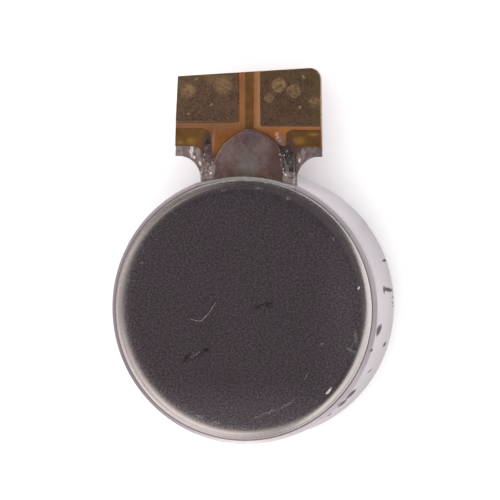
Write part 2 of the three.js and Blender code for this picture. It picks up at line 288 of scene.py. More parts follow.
# --------------------------------------------------------- material helpers
class Mat:
    """A Principled material whose textures are measured in millimetres on the object."""

    def __init__(self, name, color=(0.8, 0.8, 0.8), metallic=0.0, rough=0.4, **extra):
        self.m = bpy.data.materials.new(name)
        self.m.use_nodes = True
        self.nt = self.m.node_tree
        self.nt.nodes.clear()
        self.out = self.nt.nodes.new("ShaderNodeOutputMaterial")
        self.b = self.nt.nodes.new("ShaderNodeBsdfPrincipled")
        self.nt.links.new(self.b.outputs[0], self.out.inputs[0])
        self.b.inputs["Base Color"].default_value = (*color, 1)
        self.b.inputs["Metallic"].default_value = metallic
        self.b.inputs["Roughness"].default_value = rough
        for k, v in extra.items():
            self.b.inputs[k.replace("_", " ")].default_value = v
        tc = self.nt.nodes.new("ShaderNodeTexCoord")
        s = self.nt.nodes.new("ShaderNodeVectorMath")
        s.operation = "SCALE"
        s.inputs["Scale"].default_value = 1000.0
        self.nt.links.new(tc.outputs["Object"], s.inputs[0])
        self.P = s.outputs[0]
        sep = self.nt.nodes.new("ShaderNodeSeparateXYZ")
        self.nt.links.new(self.P, sep.inputs[0])
        self.x, self.y, self.z = sep.outputs

    def _set(self, sock, v):
        if isinstance(v, bpy.types.NodeSocket):
            self.nt.links.new(v, sock)
        elif isinstance(v, (tuple, list)) and len(v) == 3 and sock.type == "RGBA":
            sock.default_value = (*v, 1)
        else:
            sock.default_value = v

    def math(self, op, a, b=None, c=None, clamp=False):
        n = self.nt.nodes.new("ShaderNodeMath")
        n.operation, n.use_clamp = op, clamp
        for i, v in enumerate((a, b, c)):
            if v is not None:
                self._set(n.inputs[i], v)
        return n.outputs[0]

    def vec(self, op, a, b=None, scale=None):
        n = self.nt.nodes.new("ShaderNodeVectorMath")
        n.operation = op
        self._set(n.inputs[0], a)
        if b is not None:
            self._set(n.inputs[1], b)
        if scale is not None:
            n.inputs["Scale"].default_value = scale
        return n.outputs["Value"] if op in ("LENGTH", "DOT_PRODUCT", "DISTANCE") else n.outputs[0]

    def combine(self, x, y, z):
        n = self.nt.nodes.new("ShaderNodeCombineXYZ")
        for i, v in enumerate((x, y, z)):
            self._set(n.inputs[i], v)
        return n.outputs[0]

    def mapping(self, vec, loc=(0, 0, 0), rot=0.0, scale=(1, 1, 1), kind="TEXTURE"):
        n = self.nt.nodes.new("ShaderNodeMapping")
        n.vector_type = kind
        self._set(n.inputs["Vector"], vec)
        n.inputs["Location"].default_value = loc
        n.inputs["Rotation"].default_value = (0, 0, rot)
        n.inputs["Scale"].default_value = scale
        return n.outputs[0]

    def noise(self, scale, detail=3.0, rough=0.55, vec=None, distortion=0.0, color=False):
        n = self.nt.nodes.new("ShaderNodeTexNoise")
        self._set(n.inputs["Vector"], vec if vec is not None else self.P)
        n.inputs["Scale"].default_value = scale
        n.inputs["Detail"].default_value = detail
        n.inputs["Roughness"].default_value = rough
        n.inputs["Distortion"].default_value = distortion
        return n.outputs["Color" if color else "Fac"]

    def voronoi(self, scale, vec=None, feature="F1", rand=1.0):
        n = self.nt.nodes.new("ShaderNodeTexVoronoi")
        n.feature = feature
        self._set(n.inputs["Vector"], vec if vec is not None else self.P)
        n.inputs["Scale"].default_value = scale
        n.inputs["Randomness"].default_value = rand
        return n.outputs["Distance"]

    def range(self, v, a, b, lo=0.0, hi=1.0, smooth=True):
        n = self.nt.nodes.new("ShaderNodeMapRange")
        n.interpolation_type = "SMOOTHSTEP" if smooth else "LINEAR"
        self._set(n.inputs[0], v)
        for i, w in enumerate((a, b, lo, hi)):
            n.inputs[i + 1].default_value = w
        return n.outputs[0]

    def mix(self, fac, a, b, kind="MIX"):
        n = self.nt.nodes.new("ShaderNodeMix")
        n.data_type, n.blend_type = "RGBA", kind
        self._set(n.inputs[0], fac)
        self._set(n.inputs[6], a)
        self._set(n.inputs[7], b)
        return n.outputs[2]

    def ramp(self, fac, stops):
        n = self.nt.nodes.new("ShaderNodeValToRGB")
        self._set(n.inputs[0], fac)
        e = n.color_ramp.elements
        while len(e) < len(stops):
            e.new(0.5)
        for el, (p, c) in zip(e, stops):
            el.position = p
            el.color = (*c, 1)
        return n.outputs[0]

    def spot(self, vec, cx, cy, rx, ry=None, ang=0.0, soft=0.25, wob=None):
        """Mask of an ellipse: 1 inside, 0 outside."""
        v = vec
        if wob is not None:
            v = self.vec("ADD", vec, wob)
        q = self.mapping(v, (cx, cy, 0), rad(ang), (rx, ry or rx, 1e4))
        return self.range(self.vec("LENGTH", q), 1.0 - soft, 1.0 + soft, 1.0, 0.0)

    def most(self, masks):
        out = masks[0]
        for m in masks[1:]:
            out = self.math("MAXIMUM", out, m)
        return out

    def bump(self, height, dist, strength=1.0, normal=None):
        n = self.nt.nodes.new("ShaderNodeBump")
        n.inputs["Strength"].default_value = strength
        n.inputs["Distance"].default_value = dist * MM
        self._set(n.inputs["Height"], height)
        if normal is not None:
            self._set(n.inputs["Normal"], normal)
        return n.outputs[0]

    def set(self, **kw):
        for k, v in kw.items():
            self._set(self.b.inputs[k.replace("_", " ")], v)
        return self


# ------------------------------------------------------------- the materials
def wobble(m, scale, amount):
    c = m.vec("SUBTRACT", m.noise(scale, 2, 0.6, color=True), (0.5, 0.5, 0.5))
    return m.vec("SCALE", c, scale=amount)


def make_case_steel():
    m = Mat("case_steel_satin", metallic=1.0, Specular_IOR_Level=0.06)
    ang = m.math("ARCTAN2", m.y, m.x)
    arc_len = m.math("MULTIPLY", ang, 4.0)
    W = m.combine(arc_len, m.z, 0.0)
    radius = m.vec("LENGTH", m.combine(m.x, m.y, 0.0))
    flat = m.range(radius, 3.80, 3.70)
    # draw lines run up the wall; rolling grain on the flat back
    lines = m.noise(1.0, 4, 0.6, m.mapping(m.P, scale=(22, 22, 1.0), kind="POINT"))
    roll = m.noise(1.0, 4, 0.6, m.mapping(m.P, scale=(1.6, 24, 1.0), kind="POINT"))
    lines = m.math("ADD", m.math("MULTIPLY", lines, m.math("SUBTRACT", 1.0, flat)), m.math("MULTIPLY", roll, flat))
    fine = m.noise(28, 3, 0.6)
    cloud = m.noise(1.1, 3, 0.55)
    wob = wobble(m, 16, 0.05)
    wob2 = wobble(m, 8, 0.16)
    marks = []
    for a, z, rx, ry, t in (
            (7.7, 1.04, 0.062, 0.74, -5), (8.2, 1.66, 0.10, 0.17, 20), (20.1, 0.42, 0.035, 0.42, 0), (39.0, 0.16, 0.12, 0.10, 0),
            (3.9, 0.36, 0.014, 0.22, 8), (1.6, 0.42, 0.018, 0.15, -10), (0.2, 0.34, 0.012, 0.20, 5), (-16.9, 2.95, 0.06, 0.12, 0), (-27.7, 1.72, 0.045, 0.25, 12)):
        marks.append(m.spot(W, rad(a) * 4.0, z, rx, ry, t, 0.35, wob))
    for a, z, rx, ry, t in (
            (-8.7, 2.60, 0.16, 0.30, 0), (-8.0, 2.36, 0.11, 0.26, 12), (-16.2, 0.90, 0.06, 0.24, 8), (-38.6, 2.44, 0.17, 0.46, 0), (-39.6, 2.62, 0.13, 0.20, 20),
            (-43.8, 2.60, 0.15, 0.42, 0), (-51.0, 2.70, 0.07, 0.22, 0), (150.0, 1.3, 0.10, 0.30, 10), (202.0 - 360, 2.2, 0.08, 0.2, -10), (-118.0, 1.0, 0.10, 0.26, 6),
            (120.0, 0.6, 0.12, 0.2, 0), (-80.0, 2.0, 0.10, 0.14, 0)):
        marks.append(m.spot(W, rad(a) * 4.0, z, rx, ry, t, 0.32, wob2))
    # the marks are on the outside of the wall only
    mark = m.math("MULTIPLY", m.most(marks), m.range(radius, 3.90, 3.95))
    speck = m.range(m.noise(8, 2, 0.6), 0.69, 0.76)
    mark = m.math("MAXIMUM", mark, m.math("MULTIPLY", speck, 0.30))
    col = m.mix(m.range(cloud, 0.35, 0.7), (0.640, 0.590, 0.620), (0.720, 0.680, 0.705))
    col = m.mix(m.math("MULTIPLY", m.range(lines, 0.45, 0.75), 0.22), col, (0.42, 0.37, 0.40))
    col = m.mix(m.math("MULTIPLY", m.range(fine, 0.5, 0.75), 0.20), col, (0.50, 0.45, 0.48))
    top = m.range(m.z, 2.95, 3.04, 0.0, 1.0)
    turn = m.math("DIVIDE", m.math("MODULO", m.math("ADD", ang, 2.0 * math.pi), 2.0 * math.pi), 2.0 * math.pi)
    # painted light: the rim top is painted lighter and darker round the can, for the light and shade falling on each
    # side
    rim_painted_light = m.ramp(turn, [(0.0, (0.465, 0.475, 0.465)), (0.10, (0.52, 0.525, 0.52)), (0.20, (0.74, 0.71, 0.72)), (0.30, (0.62, 0.57, 0.59)),
                             (0.42, (0.43, 0.39, 0.405)), (0.58, (0.31, 0.275, 0.29)), (0.66, (0.46, 0.42, 0.435)), (0.74, (1.0, 0.98, 0.98)),
                             (0.84, (1.0, 0.98, 0.98)), (0.90, (0.80, 0.78, 0.79)), (0.96, (0.52, 0.51, 0.52)), (1.0, (0.465, 0.475, 0.465))])
    # painted light: the outside of the wall is painted lighter near the tab and darker on other sides, for the light
    # and shade falling there; the flat back gets one even tone
    wall_painted_light = m.ramp(turn, [(0.0, (0.76, 0.755, 0.755)), (0.10, (0.72, 0.71, 0.72)), (0.155, (0.98, 0.98, 0.99)), (0.185, (1.18, 1.18, 1.20)), (0.30, (0.94, 0.94, 0.94)), (0.45, (0.78, 0.78, 0.78)),
                              (0.70, (0.72, 0.715, 0.72)), (0.80, (0.58, 0.565, 0.575)), (0.87, (0.53, 0.515, 0.525)), (0.93, (0.66, 0.65, 0.66)), (1.0, (0.76, 0.755, 0.755))])
    wall_painted_light = m.mix(flat, wall_painted_light, (0.84, 0.835, 0.84))
    col = m.mix(1.0, col, m.mix(top, wall_painted_light, rim_painted_light), "MULTIPLY")
    # a darker line painted along the crimp under the rim
    seam = m.range(m.math("ABSOLUTE", m.math("SUBTRACT", m.z, 2.985)), 0.0, 0.035, 1.0, 0.0)
    col = m.mix(m.math("MULTIPLY", seam, 0.30), col, (0.20, 0.155, 0.18))
    # a soft ring line that climbs from the wall to the rim as it goes round
    climb = m.ramp(turn, [(0.0, (0.53,) * 3), (0.055, (0.34,) * 3), (0.083, (0.24,) * 3), (0.16, (0.20,) * 3), (0.50, (0.40,) * 3), (0.80, (0.57,) * 3),
                          (0.90, (0.57,) * 3), (0.95, (0.55,) * 3), (1.0, (0.53,) * 3)])
    much = m.ramp(turn, [(0.0, (0.34,) * 3), (0.083, (0.30,) * 3), (0.15, (0.10,) * 3), (0.25, (0.0,) * 3), (0.76, (0.0,) * 3), (0.82, (0.45,) * 3),
                         (0.90, (0.52,) * 3), (0.95, (0.40,) * 3), (1.0, (0.34,) * 3)])
    off = m.math("ABSOLUTE", m.math("SUBTRACT", m.math("SUBTRACT", m.z, 2.5), climb))
    ring = m.math("MULTIPLY", m.range(off, 0.03, 0.13, 1.0, 0.0), much)
    col = m.mix(ring, col, (0.22, 0.185, 0.205))
    # dirt and painted shade in the groove inside the rim, painted darker on some sides of the can than on others
    soil = m.math("MULTIPLY", m.range(radius, 3.906, 3.890), m.range(m.z, 3.02, 3.06))
    groove_dirt_and_shade_by_side = m.ramp(turn, [(0.0, (0.06,) * 3), (0.12, (0.06,) * 3), (0.25, (0.22,) * 3), (0.42, (0.34,) * 3), (0.50, (0.60,) * 3), (0.64, (0.80,) * 3),
                            (0.78, (0.50,) * 3), (0.90, (0.16,) * 3), (1.0, (0.06,) * 3)])
    col = m.mix(m.math("MULTIPLY", soil, groove_dirt_and_shade_by_side), col, (0.17, 0.135, 0.150))
    col = m.mix(m.math("MULTIPLY", mark, 0.90), col, (0.075, 0.045, 0.045))
    rough = m.math("ADD", m.range(cloud, 0.3, 0.7, 0.30, 0.38), m.math("MULTIPLY", mark, 0.50))
    rough = m.math("ADD", rough, m.math("MULTIPLY", top, 0.10))
    metal = m.math("SUBTRACT", 1.0, m.math("MULTIPLY", top, 0.38))
    metal = m.math("MULTIPLY", metal, m.range(mark, 0.0, 1.0, 1.0, 0.04))
    h = m.math("ADD", m.math("MULTIPLY", lines, 0.6), m.math("MULTIPLY", fine, 0.4))
    h = m.math("SUBTRACT", h, m.math("MULTIPLY", mark, 1.4))
    m.set(Base_Color=col, Metallic=metal, Roughness=rough, Normal=m.bump(h, 0.004, 0.6))
    return m.m


def make_cover_steel():
    m = Mat("cover_steel_dark", metallic=1.0)
    grain = m.noise(15, 3, 0.75)
    grain2 = m.noise(34, 1, 0.5)
    weave = m.noise(1.0, 2, 0.6, m.mapping(m.P, rot=rad(35), scale=(17, 24, 20), kind="POINT"))
    cloud = m.noise(0.6, 3, 0.5)
    tint = m.noise(0.85, 3, 0.55, m.vec("ADD", m.P, (11.0, 4.0, 0.0)))
    wob = wobble(m, 7, 0.16)
    fine_wob = wobble(m, 20, 0.05)
    P = m.P
    radius = m.vec("LENGTH", m.combine(m.x, m.y, 0.0))
    dark = m.most([
        m.spot(P, 0.50, 0.10, 0.22, 0.06, 20, 0.5, wob), m.spot(P, 0.86, 0.17, 0.12, 0.09, 0, 0.5, wob),
        m.spot(P, -1.66, -1.44, 0.17, 0.06, 40, 0.5, wob), m.spot(P, -1.10, -1.24, 0.18, 0.06, 32, 0.5, wob),
        m.spot(P, -1.30, -1.40, 0.30, 0.03, 25, 0.6, wob),
    ])
    dark = m.math("MULTIPLY", dark, m.range(m.noise(8, 3, 0.7), 0.40, 0.60, 0.30, 1.0))
    hair = m.most([
        m.spot(P, -0.896, 0.036, 0.20, 0.0078, 57.4, 0.5), m.spot(P, -1.101, -0.225, 0.18, 0.0088, 45.5, 0.5),
        m.spot(P, -1.285, -0.340, 0.12, 0.0080, 3, 0.5), m.spot(P, -1.446, -0.313, 0.11, 0.0066, -17, 0.5),
    ])
    chip = m.most([
        m.spot(P, 2.62, -2.36, 0.12, 0.035, 50, 0.4, fine_wob), m.spot(P, 3.50, 0.69, 0.025, 0.045, -30, 0.5),
    ])
    faint = m.most([
        m.spot(P, 0.49, 3.60, 0.13, 0.022, -4, 0.6, fine_wob), m.spot(P, -0.55, 3.52, 0.10, 0.02, 10, 0.6, fine_wob),
        m.spot(P, -3.00, 1.36, 0.045, 0.03, 20, 0.5), m.spot(P, -3.42, 0.84, 0.035, 0.045, 30, 0.5),
        m.spot(P, -0.78, -3.34, 0.16, 0.03, 0, 0.6, wob), m.spot(P, -1.25, -3.18, 0.16, 0.03, -20, 0.6, wob),
        m.spot(P, 0.75, -3.05, 0.40, 0.022, 22, 0.6, wob), m.spot(P, 1.35, -2.80, 0.30, 0.025, 34, 0.6, wob),
        m.spot(P, 2.42, -0.98, 0.07, 0.035, 30, 0.6, wob), m.spot(P, 3.42, -0.75, 0.05, 0.20, 0, 0.6, wob),
        m.spot(P, 3.30, -1.15, 0.16, 0.04, -30, 0.6, wob), m.spot(P, 1.95, -1.95, 0.10, 0.02, 60, 0.6, wob),
        m.spot(P, 2.10, 2.25, 0.05, 0.02, 0, 0.5, fine_wob), m.spot(P, -1.42, -1.36, 0.17, 0.016, 30, 0.5, fine_wob),
        m.spot(P, 1.35, 3.30, 0.09, 0.03, 0, 0.6, wob), m.spot(P, 2.75, 2.12, 0.06, 0.03, -50, 0.6, wob),
    ])
    dust = m.range(m.noise(6.5, 3, 0.7), 0.64, 0.74)
    dust = m.math("MULTIPLY", dust, m.range(radius, 1.2, 3.4, 0.25, 1.0))
    g = m.math("ADD", m.math("MULTIPLY", grain, 0.5), m.math("MULTIPLY", weave, 0.5))
    col = m.mix(m.range(g, 0.36, 0.64), (0.43, 0.385, 0.405), (0.77, 0.70, 0.735))
    speck = m.range(grain2, 0.60, 0.78)
    col = m.mix(m.math("MULTIPLY", speck, 0.45), col, (0.92, 0.84, 0.87))
    col = m.mix(m.math("MULTIPLY", m.range(cloud, 0.45, 0.8), 0.22), col, (0.44, 0.37, 0.41))
    col = m.mix(1.0, col, m.mix(m.range(tint, 0.38, 0.62), (1.025, 0.97, 1.00), (0.975, 1.005, 1.00)), "MULTIPLY")
    edge = m.range(radius, 3.50, 3.62)
    col = m.mix(edge, col, m.mix(m.range(grain, 0.3, 0.7), (0.62, 0.575, 0.565), (0.70, 0.645, 0.635)))
    # painted light: the flat face is painted lighter towards its lower and right sides
    painted_light_low_right = m.math("ADD", m.math("MULTIPLY", m.range(m.y, -1.9, -3.4), 0.42), m.math("MULTIPLY", m.range(m.x, 2.0, 3.4), 0.30))
    painted_light_gain = m.math("ADD", 1.0, m.math("MULTIPLY", painted_light_low_right, m.math("SUBTRACT", 1.0, edge)))
    # painted light: how bright the bent metal is painted round the disc, at its foot, middle and top, for the
    # reflections falling there
    turn = m.math("DIVIDE", m.math("MODULO", m.math("ADD", m.math("ARCTAN2", m.y, m.x), 2.0 * math.pi), 2.0 * math.pi), 2.0 * math.pi)

    def around(vals):
        return m.ramp(turn, [(p, (v,) * 3) for p, v in zip((0.0, 0.083, 0.167, 0.25, 0.333, 0.417, 0.50, 0.625, 0.75, 0.875, 1.0), vals)])

    g1 = around((1.45, 1.50, 1.38, 1.22, 1.42, 1.10, 0.76, 1.22, 1.30, 0.74, 1.45))
    g2 = around((0.86, 1.42, 1.37, 1.14, 0.62, 1.12, 0.76, 0.90, 0.90, 0.92, 0.86))
    g3 = around((1.00, 1.00, 1.25, 1.05, 0.38, 0.34, 0.54, 0.84, 0.56, 0.62, 1.00))
    shoulder_painted_light = m.mix(m.range(radius, 3.67, 3.72), g1, g2)
    shoulder_painted_light = m.mix(m.range(radius, 3.765, 3.800), shoulder_painted_light, g3)
    col = m.mix(1.0, col, m.mix(edge, m.combine(painted_light_gain, painted_light_gain, painted_light_gain), shoulder_painted_light), "MULTIPLY")
    # dirt and painted shade in the groove at the cover's edge, painted darker on some sides than on others
    groove_dirt_and_shade = around((0.06, 0.18, 0.40, 0.60, 0.50, 0.50, 0.62, 0.55, 0.45, 0.30, 0.06))
    col = m.mix(m.math("MULTIPLY", m.range(radius, 3.826, 3.852), groove_dirt_and_shade), col, (0.16, 0.13, 0.14))
    col = m.mix(m.math("MULTIPLY", dark, 0.72), col, (0.15, 0.080, 0.080))
    light = m.most([m.math("MULTIPLY", hair, 0.19), m.math("MULTIPLY", chip, 0.38), m.math("MULTIPLY", faint, 0.055), m.math("MULTIPLY", dust, 0.04)])
    col = m.mix(light, col, (0.95, 0.90, 0.85))
    # the tongue over the neck: dull, with a smear of dried adhesive
    tongue = m.math("MULTIPLY", m.range(radius, 3.925, 3.935), m.range(m.z, 3.12, 3.09))
    smear = m.noise(3.2, 4, 0.6, m.vec("ADD", P, wobble(m, 3, 0.3)))
    stain = m.noise(11, 3, 0.65)
    tcol = m.mix(m.range(smear, 0.36, 0.64), (0.34, 0.20, 0.175), (0.46, 0.345, 0.325))
    tcol = m.mix(m.math("MULTIPLY", m.range(stain, 0.5, 0.72), 0.50), tcol, (0.17, 0.10, 0.10))
    fleck = m.noise(24, 3, 0.7)
    tcol = m.mix(m.math("MULTIPLY", m.range(fleck, 0.52, 0.68), 0.40), tcol, (0.62, 0.52, 0.50))
    tcol = m.mix(m.math("MULTIPLY", m.range(fleck, 0.47, 0.34), 0.35), tcol, (0.15, 0.085, 0.09))
    smudge = m.most([m.math("MULTIPLY", m.spot(P, -0.62, 4.70, 0.26, 0.30, -20, 0.7, wobble(m, 6, 0.3)), 0.55),
                     m.math("MULTIPLY", m.spot(P, 0.52, 4.80, 0.22, 0.24, 0, 0.7, wobble(m, 6, 0.3)), 0.50)])
    tcol = m.mix(smudge, tcol, (0.50, 0.42, 0.41))
    rust = m.spot(P, -0.83, 4.74, 0.14, 0.36, -24, 0.6, wobble(m, 8, 0.2))
    tcol = m.mix(m.math("MULTIPLY", rust, 0.60), tcol, (0.34, 0.17, 0.10))
    right_soil = m.spot(P, 1.02, 4.45, 0.32, 0.60, 8, 0.6, wobble(m, 5, 0.25))
    tcol = m.mix(m.math("MULTIPLY", right_soil, 0.65), tcol, (0.20, 0.115, 0.105))
    low_soil = m.math("MULTIPLY", m.range(m.y, 4.22, 4.0), m.range(m.noise(5, 3, 0.6), 0.3, 0.6, 0.4, 1.0))
    tcol = m.mix(m.math("MULTIPLY", low_soil, 0.55), tcol, (0.19, 0.12, 0.10))
    blue = m.spot(P, 0.15, 5.02, 0.24, 0.26, 0, 0.6, wobble(m, 4, 0.25))
    tcol = m.mix(m.math("MULTIPLY", blue, 0.45), tcol, (0.19, 0.16, 0.19))
    green = m.spot(P, 0.12, 4.35, 0.30, 0.32, 0, 0.7, wobble(m, 4, 0.25))
    tcol = m.mix(m.math("MULTIPLY", green, 0.55), tcol, (0.42, 0.41, 0.395))
    # its rounded edge is smeared with the adhesive's amber
    lip = m.math("MULTIPLY", m.range(m.math("ADD", m.z, m.math("MULTIPLY", m.math("SUBTRACT", m.noise(6, 3, 0.6), 0.5), 0.08)), 3.046, 3.000), m.range(m.x, -0.7, 0.3, 0.30, 0.60))
    tcol = m.mix(lip, tcol, m.mix(m.range(m.x, -0.2, 0.5), m.mix(m.range(stain, 0.35, 0.65), (0.26, 0.135, 0.080), (0.20, 0.125, 0.105)), (0.17, 0.10, 0.085)))
    tcol = m.mix(1.0, tcol, (0.99, 0.98, 0.98), "MULTIPLY")
    col = m.mix(tongue, col, tcol)
    # the folded bead in front of the neck
    bead = m.math("MULTIPLY", m.range(radius, 3.853, 3.863), m.range(m.z, 3.055, 3.068))
    bead = m.math("MULTIPLY", bead, m.range(m.y, 3.3, 3.4))
    side = m.range(m.math("ABSOLUTE", m.math("SUBTRACT", m.x, 0.05)), 0.7, 1.45)
    col = m.mix(m.math("MULTIPLY", bead, 0.9), col, m.mix(side, m.mix(m.range(grain, 0.3, 0.7), (0.30, 0.30, 0.28), (0.44, 0.44, 0.405)), (0.36, 0.325, 0.33)))
    metal = m.math("SUBTRACT", 1.0, m.math("MULTIPLY", light, 0.85))
    metal = m.math("MULTIPLY", metal, m.range(bead, 0.0, 1.0, 1.0, 0.45))
    metal = m.math("MULTIPLY", metal, m.range(tongue, 0.0, 1.0, 1.0, 0.92))
    dull = around((0.55, 0.60, 0.30, 0.05, 0.0, 0.0, 0.0, 0.0, 0.10, 0.45, 0.55))
    metal = m.math("MULTIPLY", metal, m.math("SUBTRACT", 1.0, m.math("MULTIPLY", m.math("MULTIPLY", m.range(radius, 3.838, 3.852), m.range(radius, 3.92, 3.90)), dull)))
    rough = m.math("ADD", m.range(g, 0.36, 0.64, 0.19, 0.27), m.math("MULTIPLY", light, 0.3))
    rough = m.math("ADD", rough, m.math("MULTIPLY", m.math("MAXIMUM", tongue, bead), 0.20))
    h = m.math("ADD", m.math("MULTIPLY", g, 1.0), m.math("MULTIPLY", grain2, 0.5))
    h = m.math("ADD", h, m.math("MULTIPLY", light, 1.2))
    h = m.math("ADD", h, m.math("MULTIPLY", tongue, m.math("MULTIPLY", stain, 3.0)))
    m.set(Base_Color=col, Metallic=metal, Roughness=rough, Normal=m.bump(h, 0.003, 0.42))
    return m.m


def make_stainless():
    m = Mat("stiffener_stainless", metallic=0.9)
    roll = m.noise(1.0, 4, 0.65, m.mapping(m.P, scale=(7, 34, 20), kind="POINT"))
    cloud = m.noise(4.5, 4, 0.65)
    wob = wobble(m, 9, 0.08)
    P = m.P
    # painted highlights: bright streaks and sparkles on the ribs and along the fillet edges, painted as pale, less
    # metallic spots
    painted_highlight = m.most([
        m.spot(P, -1.66, 4.69, 0.045, 0.20, 0, 0.5, wob), m.math("MULTIPLY", m.spot(P, -1.46, 4.62, 0.06, 0.16, 0, 0.7, wob), 0.35),
        m.spot(P, -1.58, 4.47, 0.04, 0.05, 0, 0.5, wob), m.spot(P, -1.40, 4.30, 0.03, 0.07, 20, 0.5, wob),
        m.math("MULTIPLY", m.spot(P, 1.70, 4.66, 0.05, 0.15, 0, 0.7, wob), 0.35), m.spot(P, 1.60, 4.40, 0.03, 0.06, 0, 0.5, wob),
        m.spot(P, 1.47, 4.15, 0.02, 0.05, 0, 0.5, wob), m.spot(P, 1.47, 3.88, 0.03, 0.05, 0, 0.5, wob),
        m.spot(P, -1.36, 4.02, 0.02, 0.06, 0, 0.5, wob),
    ])
    col = m.mix(m.range(cloud, 0.35, 0.65), (0.30, 0.235, 0.225), (0.58, 0.47, 0.45))
    soil = m.range(m.noise(9, 4, 0.7), 0.50, 0.62)
    col = m.mix(m.math("MULTIPLY", soil, 0.55), col, (0.16, 0.115, 0.11))
    side = m.range(m.x, 0.5, -1.0, 1.0, 1.16)
    col = m.mix(1.0, col, m.combine(side, side, side), "MULTIPLY")
    col = m.mix(m.math("MULTIPLY", painted_highlight, 0.95), col, (0.50, 0.45, 0.42))
    m.set(Base_Color=col, Metallic=m.range(painted_highlight, 0.0, 1.0, 0.90, 0.15), Roughness=m.range(roll, 0.3, 0.7, 0.34, 0.50),
          Normal=m.bump(m.math("ADD", roll, m.math("MULTIPLY", cloud, 2.0)), 0.006, 0.8))
    return m.m


def make_gold_pad():
    m = Mat("gold_pad_plating", metallic=1.0)
    grain = m.noise(19, 3, 0.75)
    tiny = m.noise(46, 1, 0.5)
    cloud = m.noise(2.4, 4, 0.65)
    wob = m.vec("ADD", wobble(m, 6, 0.10), wobble(m, 26, 0.09))
    P = m.P
    # round marks where a test probe has pressed
    touch = m.most([m.math("MULTIPLY", m.spot(P, cx, cy, r, soft=sf, wob=wob), k) for cx, cy, r, sf, k in (
        (-1.764, 6.469, 0.22, 0.45, 1.0), (-0.706, 6.62, 0.27, 0.40, 1.0), (0.982, 6.633, 0.215, 0.22, 1.0),
        (1.433, 6.459, 0.20, 0.22, 0.75), (0.682, 6.247, 0.135, 0.25, 0.70), (2.065, 6.138, 0.17, 0.45, 0.8),
        (-1.06, 6.84, 0.20, 0.6, 0.55), (-1.95, 6.60, 0.16, 0.6, 0.4), (-0.30, 6.5, 0.12, 0.6, 0.3))])
    touch = m.math("MULTIPLY", touch, m.range(m.noise(11, 3, 0.7), 0.34, 0.62, 0.25, 1.0))
    edge = []
    for cx, cy, r in ((0.982, 6.633, 0.215), (1.433, 6.459, 0.20), (0.682, 6.247, 0.135)):
        q = m.vec("LENGTH", m.mapping(m.vec("ADD", P, wob), (cx, cy, 0), 0, (r, r, 1e4)))
        edge.append(m.range(m.math("ABSOLUTE", m.math("SUBTRACT", q, 0.90)), 0.0, 0.20, 1.0, 0.0))
    rim = m.most(edge)
    dots = m.most([m.spot(P, 1.62, 5.98, 0.045, soft=0.5), m.spot(P, -1.74, 5.77, 0.04, soft=0.5), m.spot(P, -1.05, 6.05, 0.04, soft=0.6),
                   m.spot(P, -1.50, 6.80, 0.06, 0.02, 30, 0.5), m.spot(P, 1.72, 6.88, 0.07, 0.03, -60, 0.5)])
    col = m.mix(m.range(grain, 0.36, 0.64), (0.38, 0.225, 0.155), (0.76, 0.49, 0.345))
    col = m.mix(m.math("MULTIPLY", m.range(cloud, 0.42, 0.62), 0.40), col, (0.78, 0.55, 0.30))
    col = m.mix(m.math("MULTIPLY", m.range(tiny, 0.55, 0.75), 0.22), col, (0.90, 0.66, 0.44))
    olive = m.math("MULTIPLY", m.most([m.range(m.y, 6.55, 7.00), m.range(m.x, 1.85, 2.20), m.math("MULTIPLY", m.range(m.x, -1.75, -2.10), 0.7)]), m.range(m.noise(3.5, 4, 0.65), 0.30, 0.55))
    col = m.mix(m.math("MULTIPLY", olive, 0.45), col, (0.72, 0.54, 0.24))
    right = m.range(m.x, 0.2, 0.4, 1.0, 0.90)
    col = m.mix(1.0, col, m.combine(right, right, right), "MULTIPLY")
    col = m.mix(m.math("MULTIPLY", touch, 0.78), col, (1.0, 0.66, 0.32))
    light = m.most([m.math("MULTIPLY", touch, 0.035), m.math("MULTIPLY", rim, 0.045), m.math("MULTIPLY", dots, 0.10)])
    h = m.math("ADD", m.math("MULTIPLY", grain, 0.9), m.math("MULTIPLY", tiny, 0.4))
    h = m.math("SUBTRACT", h, m.math("MULTIPLY", touch, 0.5))
    m.set(Base_Color=col, Metallic=m.math("SUBTRACT", 1.0, light), Roughness=m.math("ADD", m.range(grain, 0.3, 0.7, 0.34, 0.44), light),
          Normal=m.bump(h, 0.004, 0.6))
    return m.m


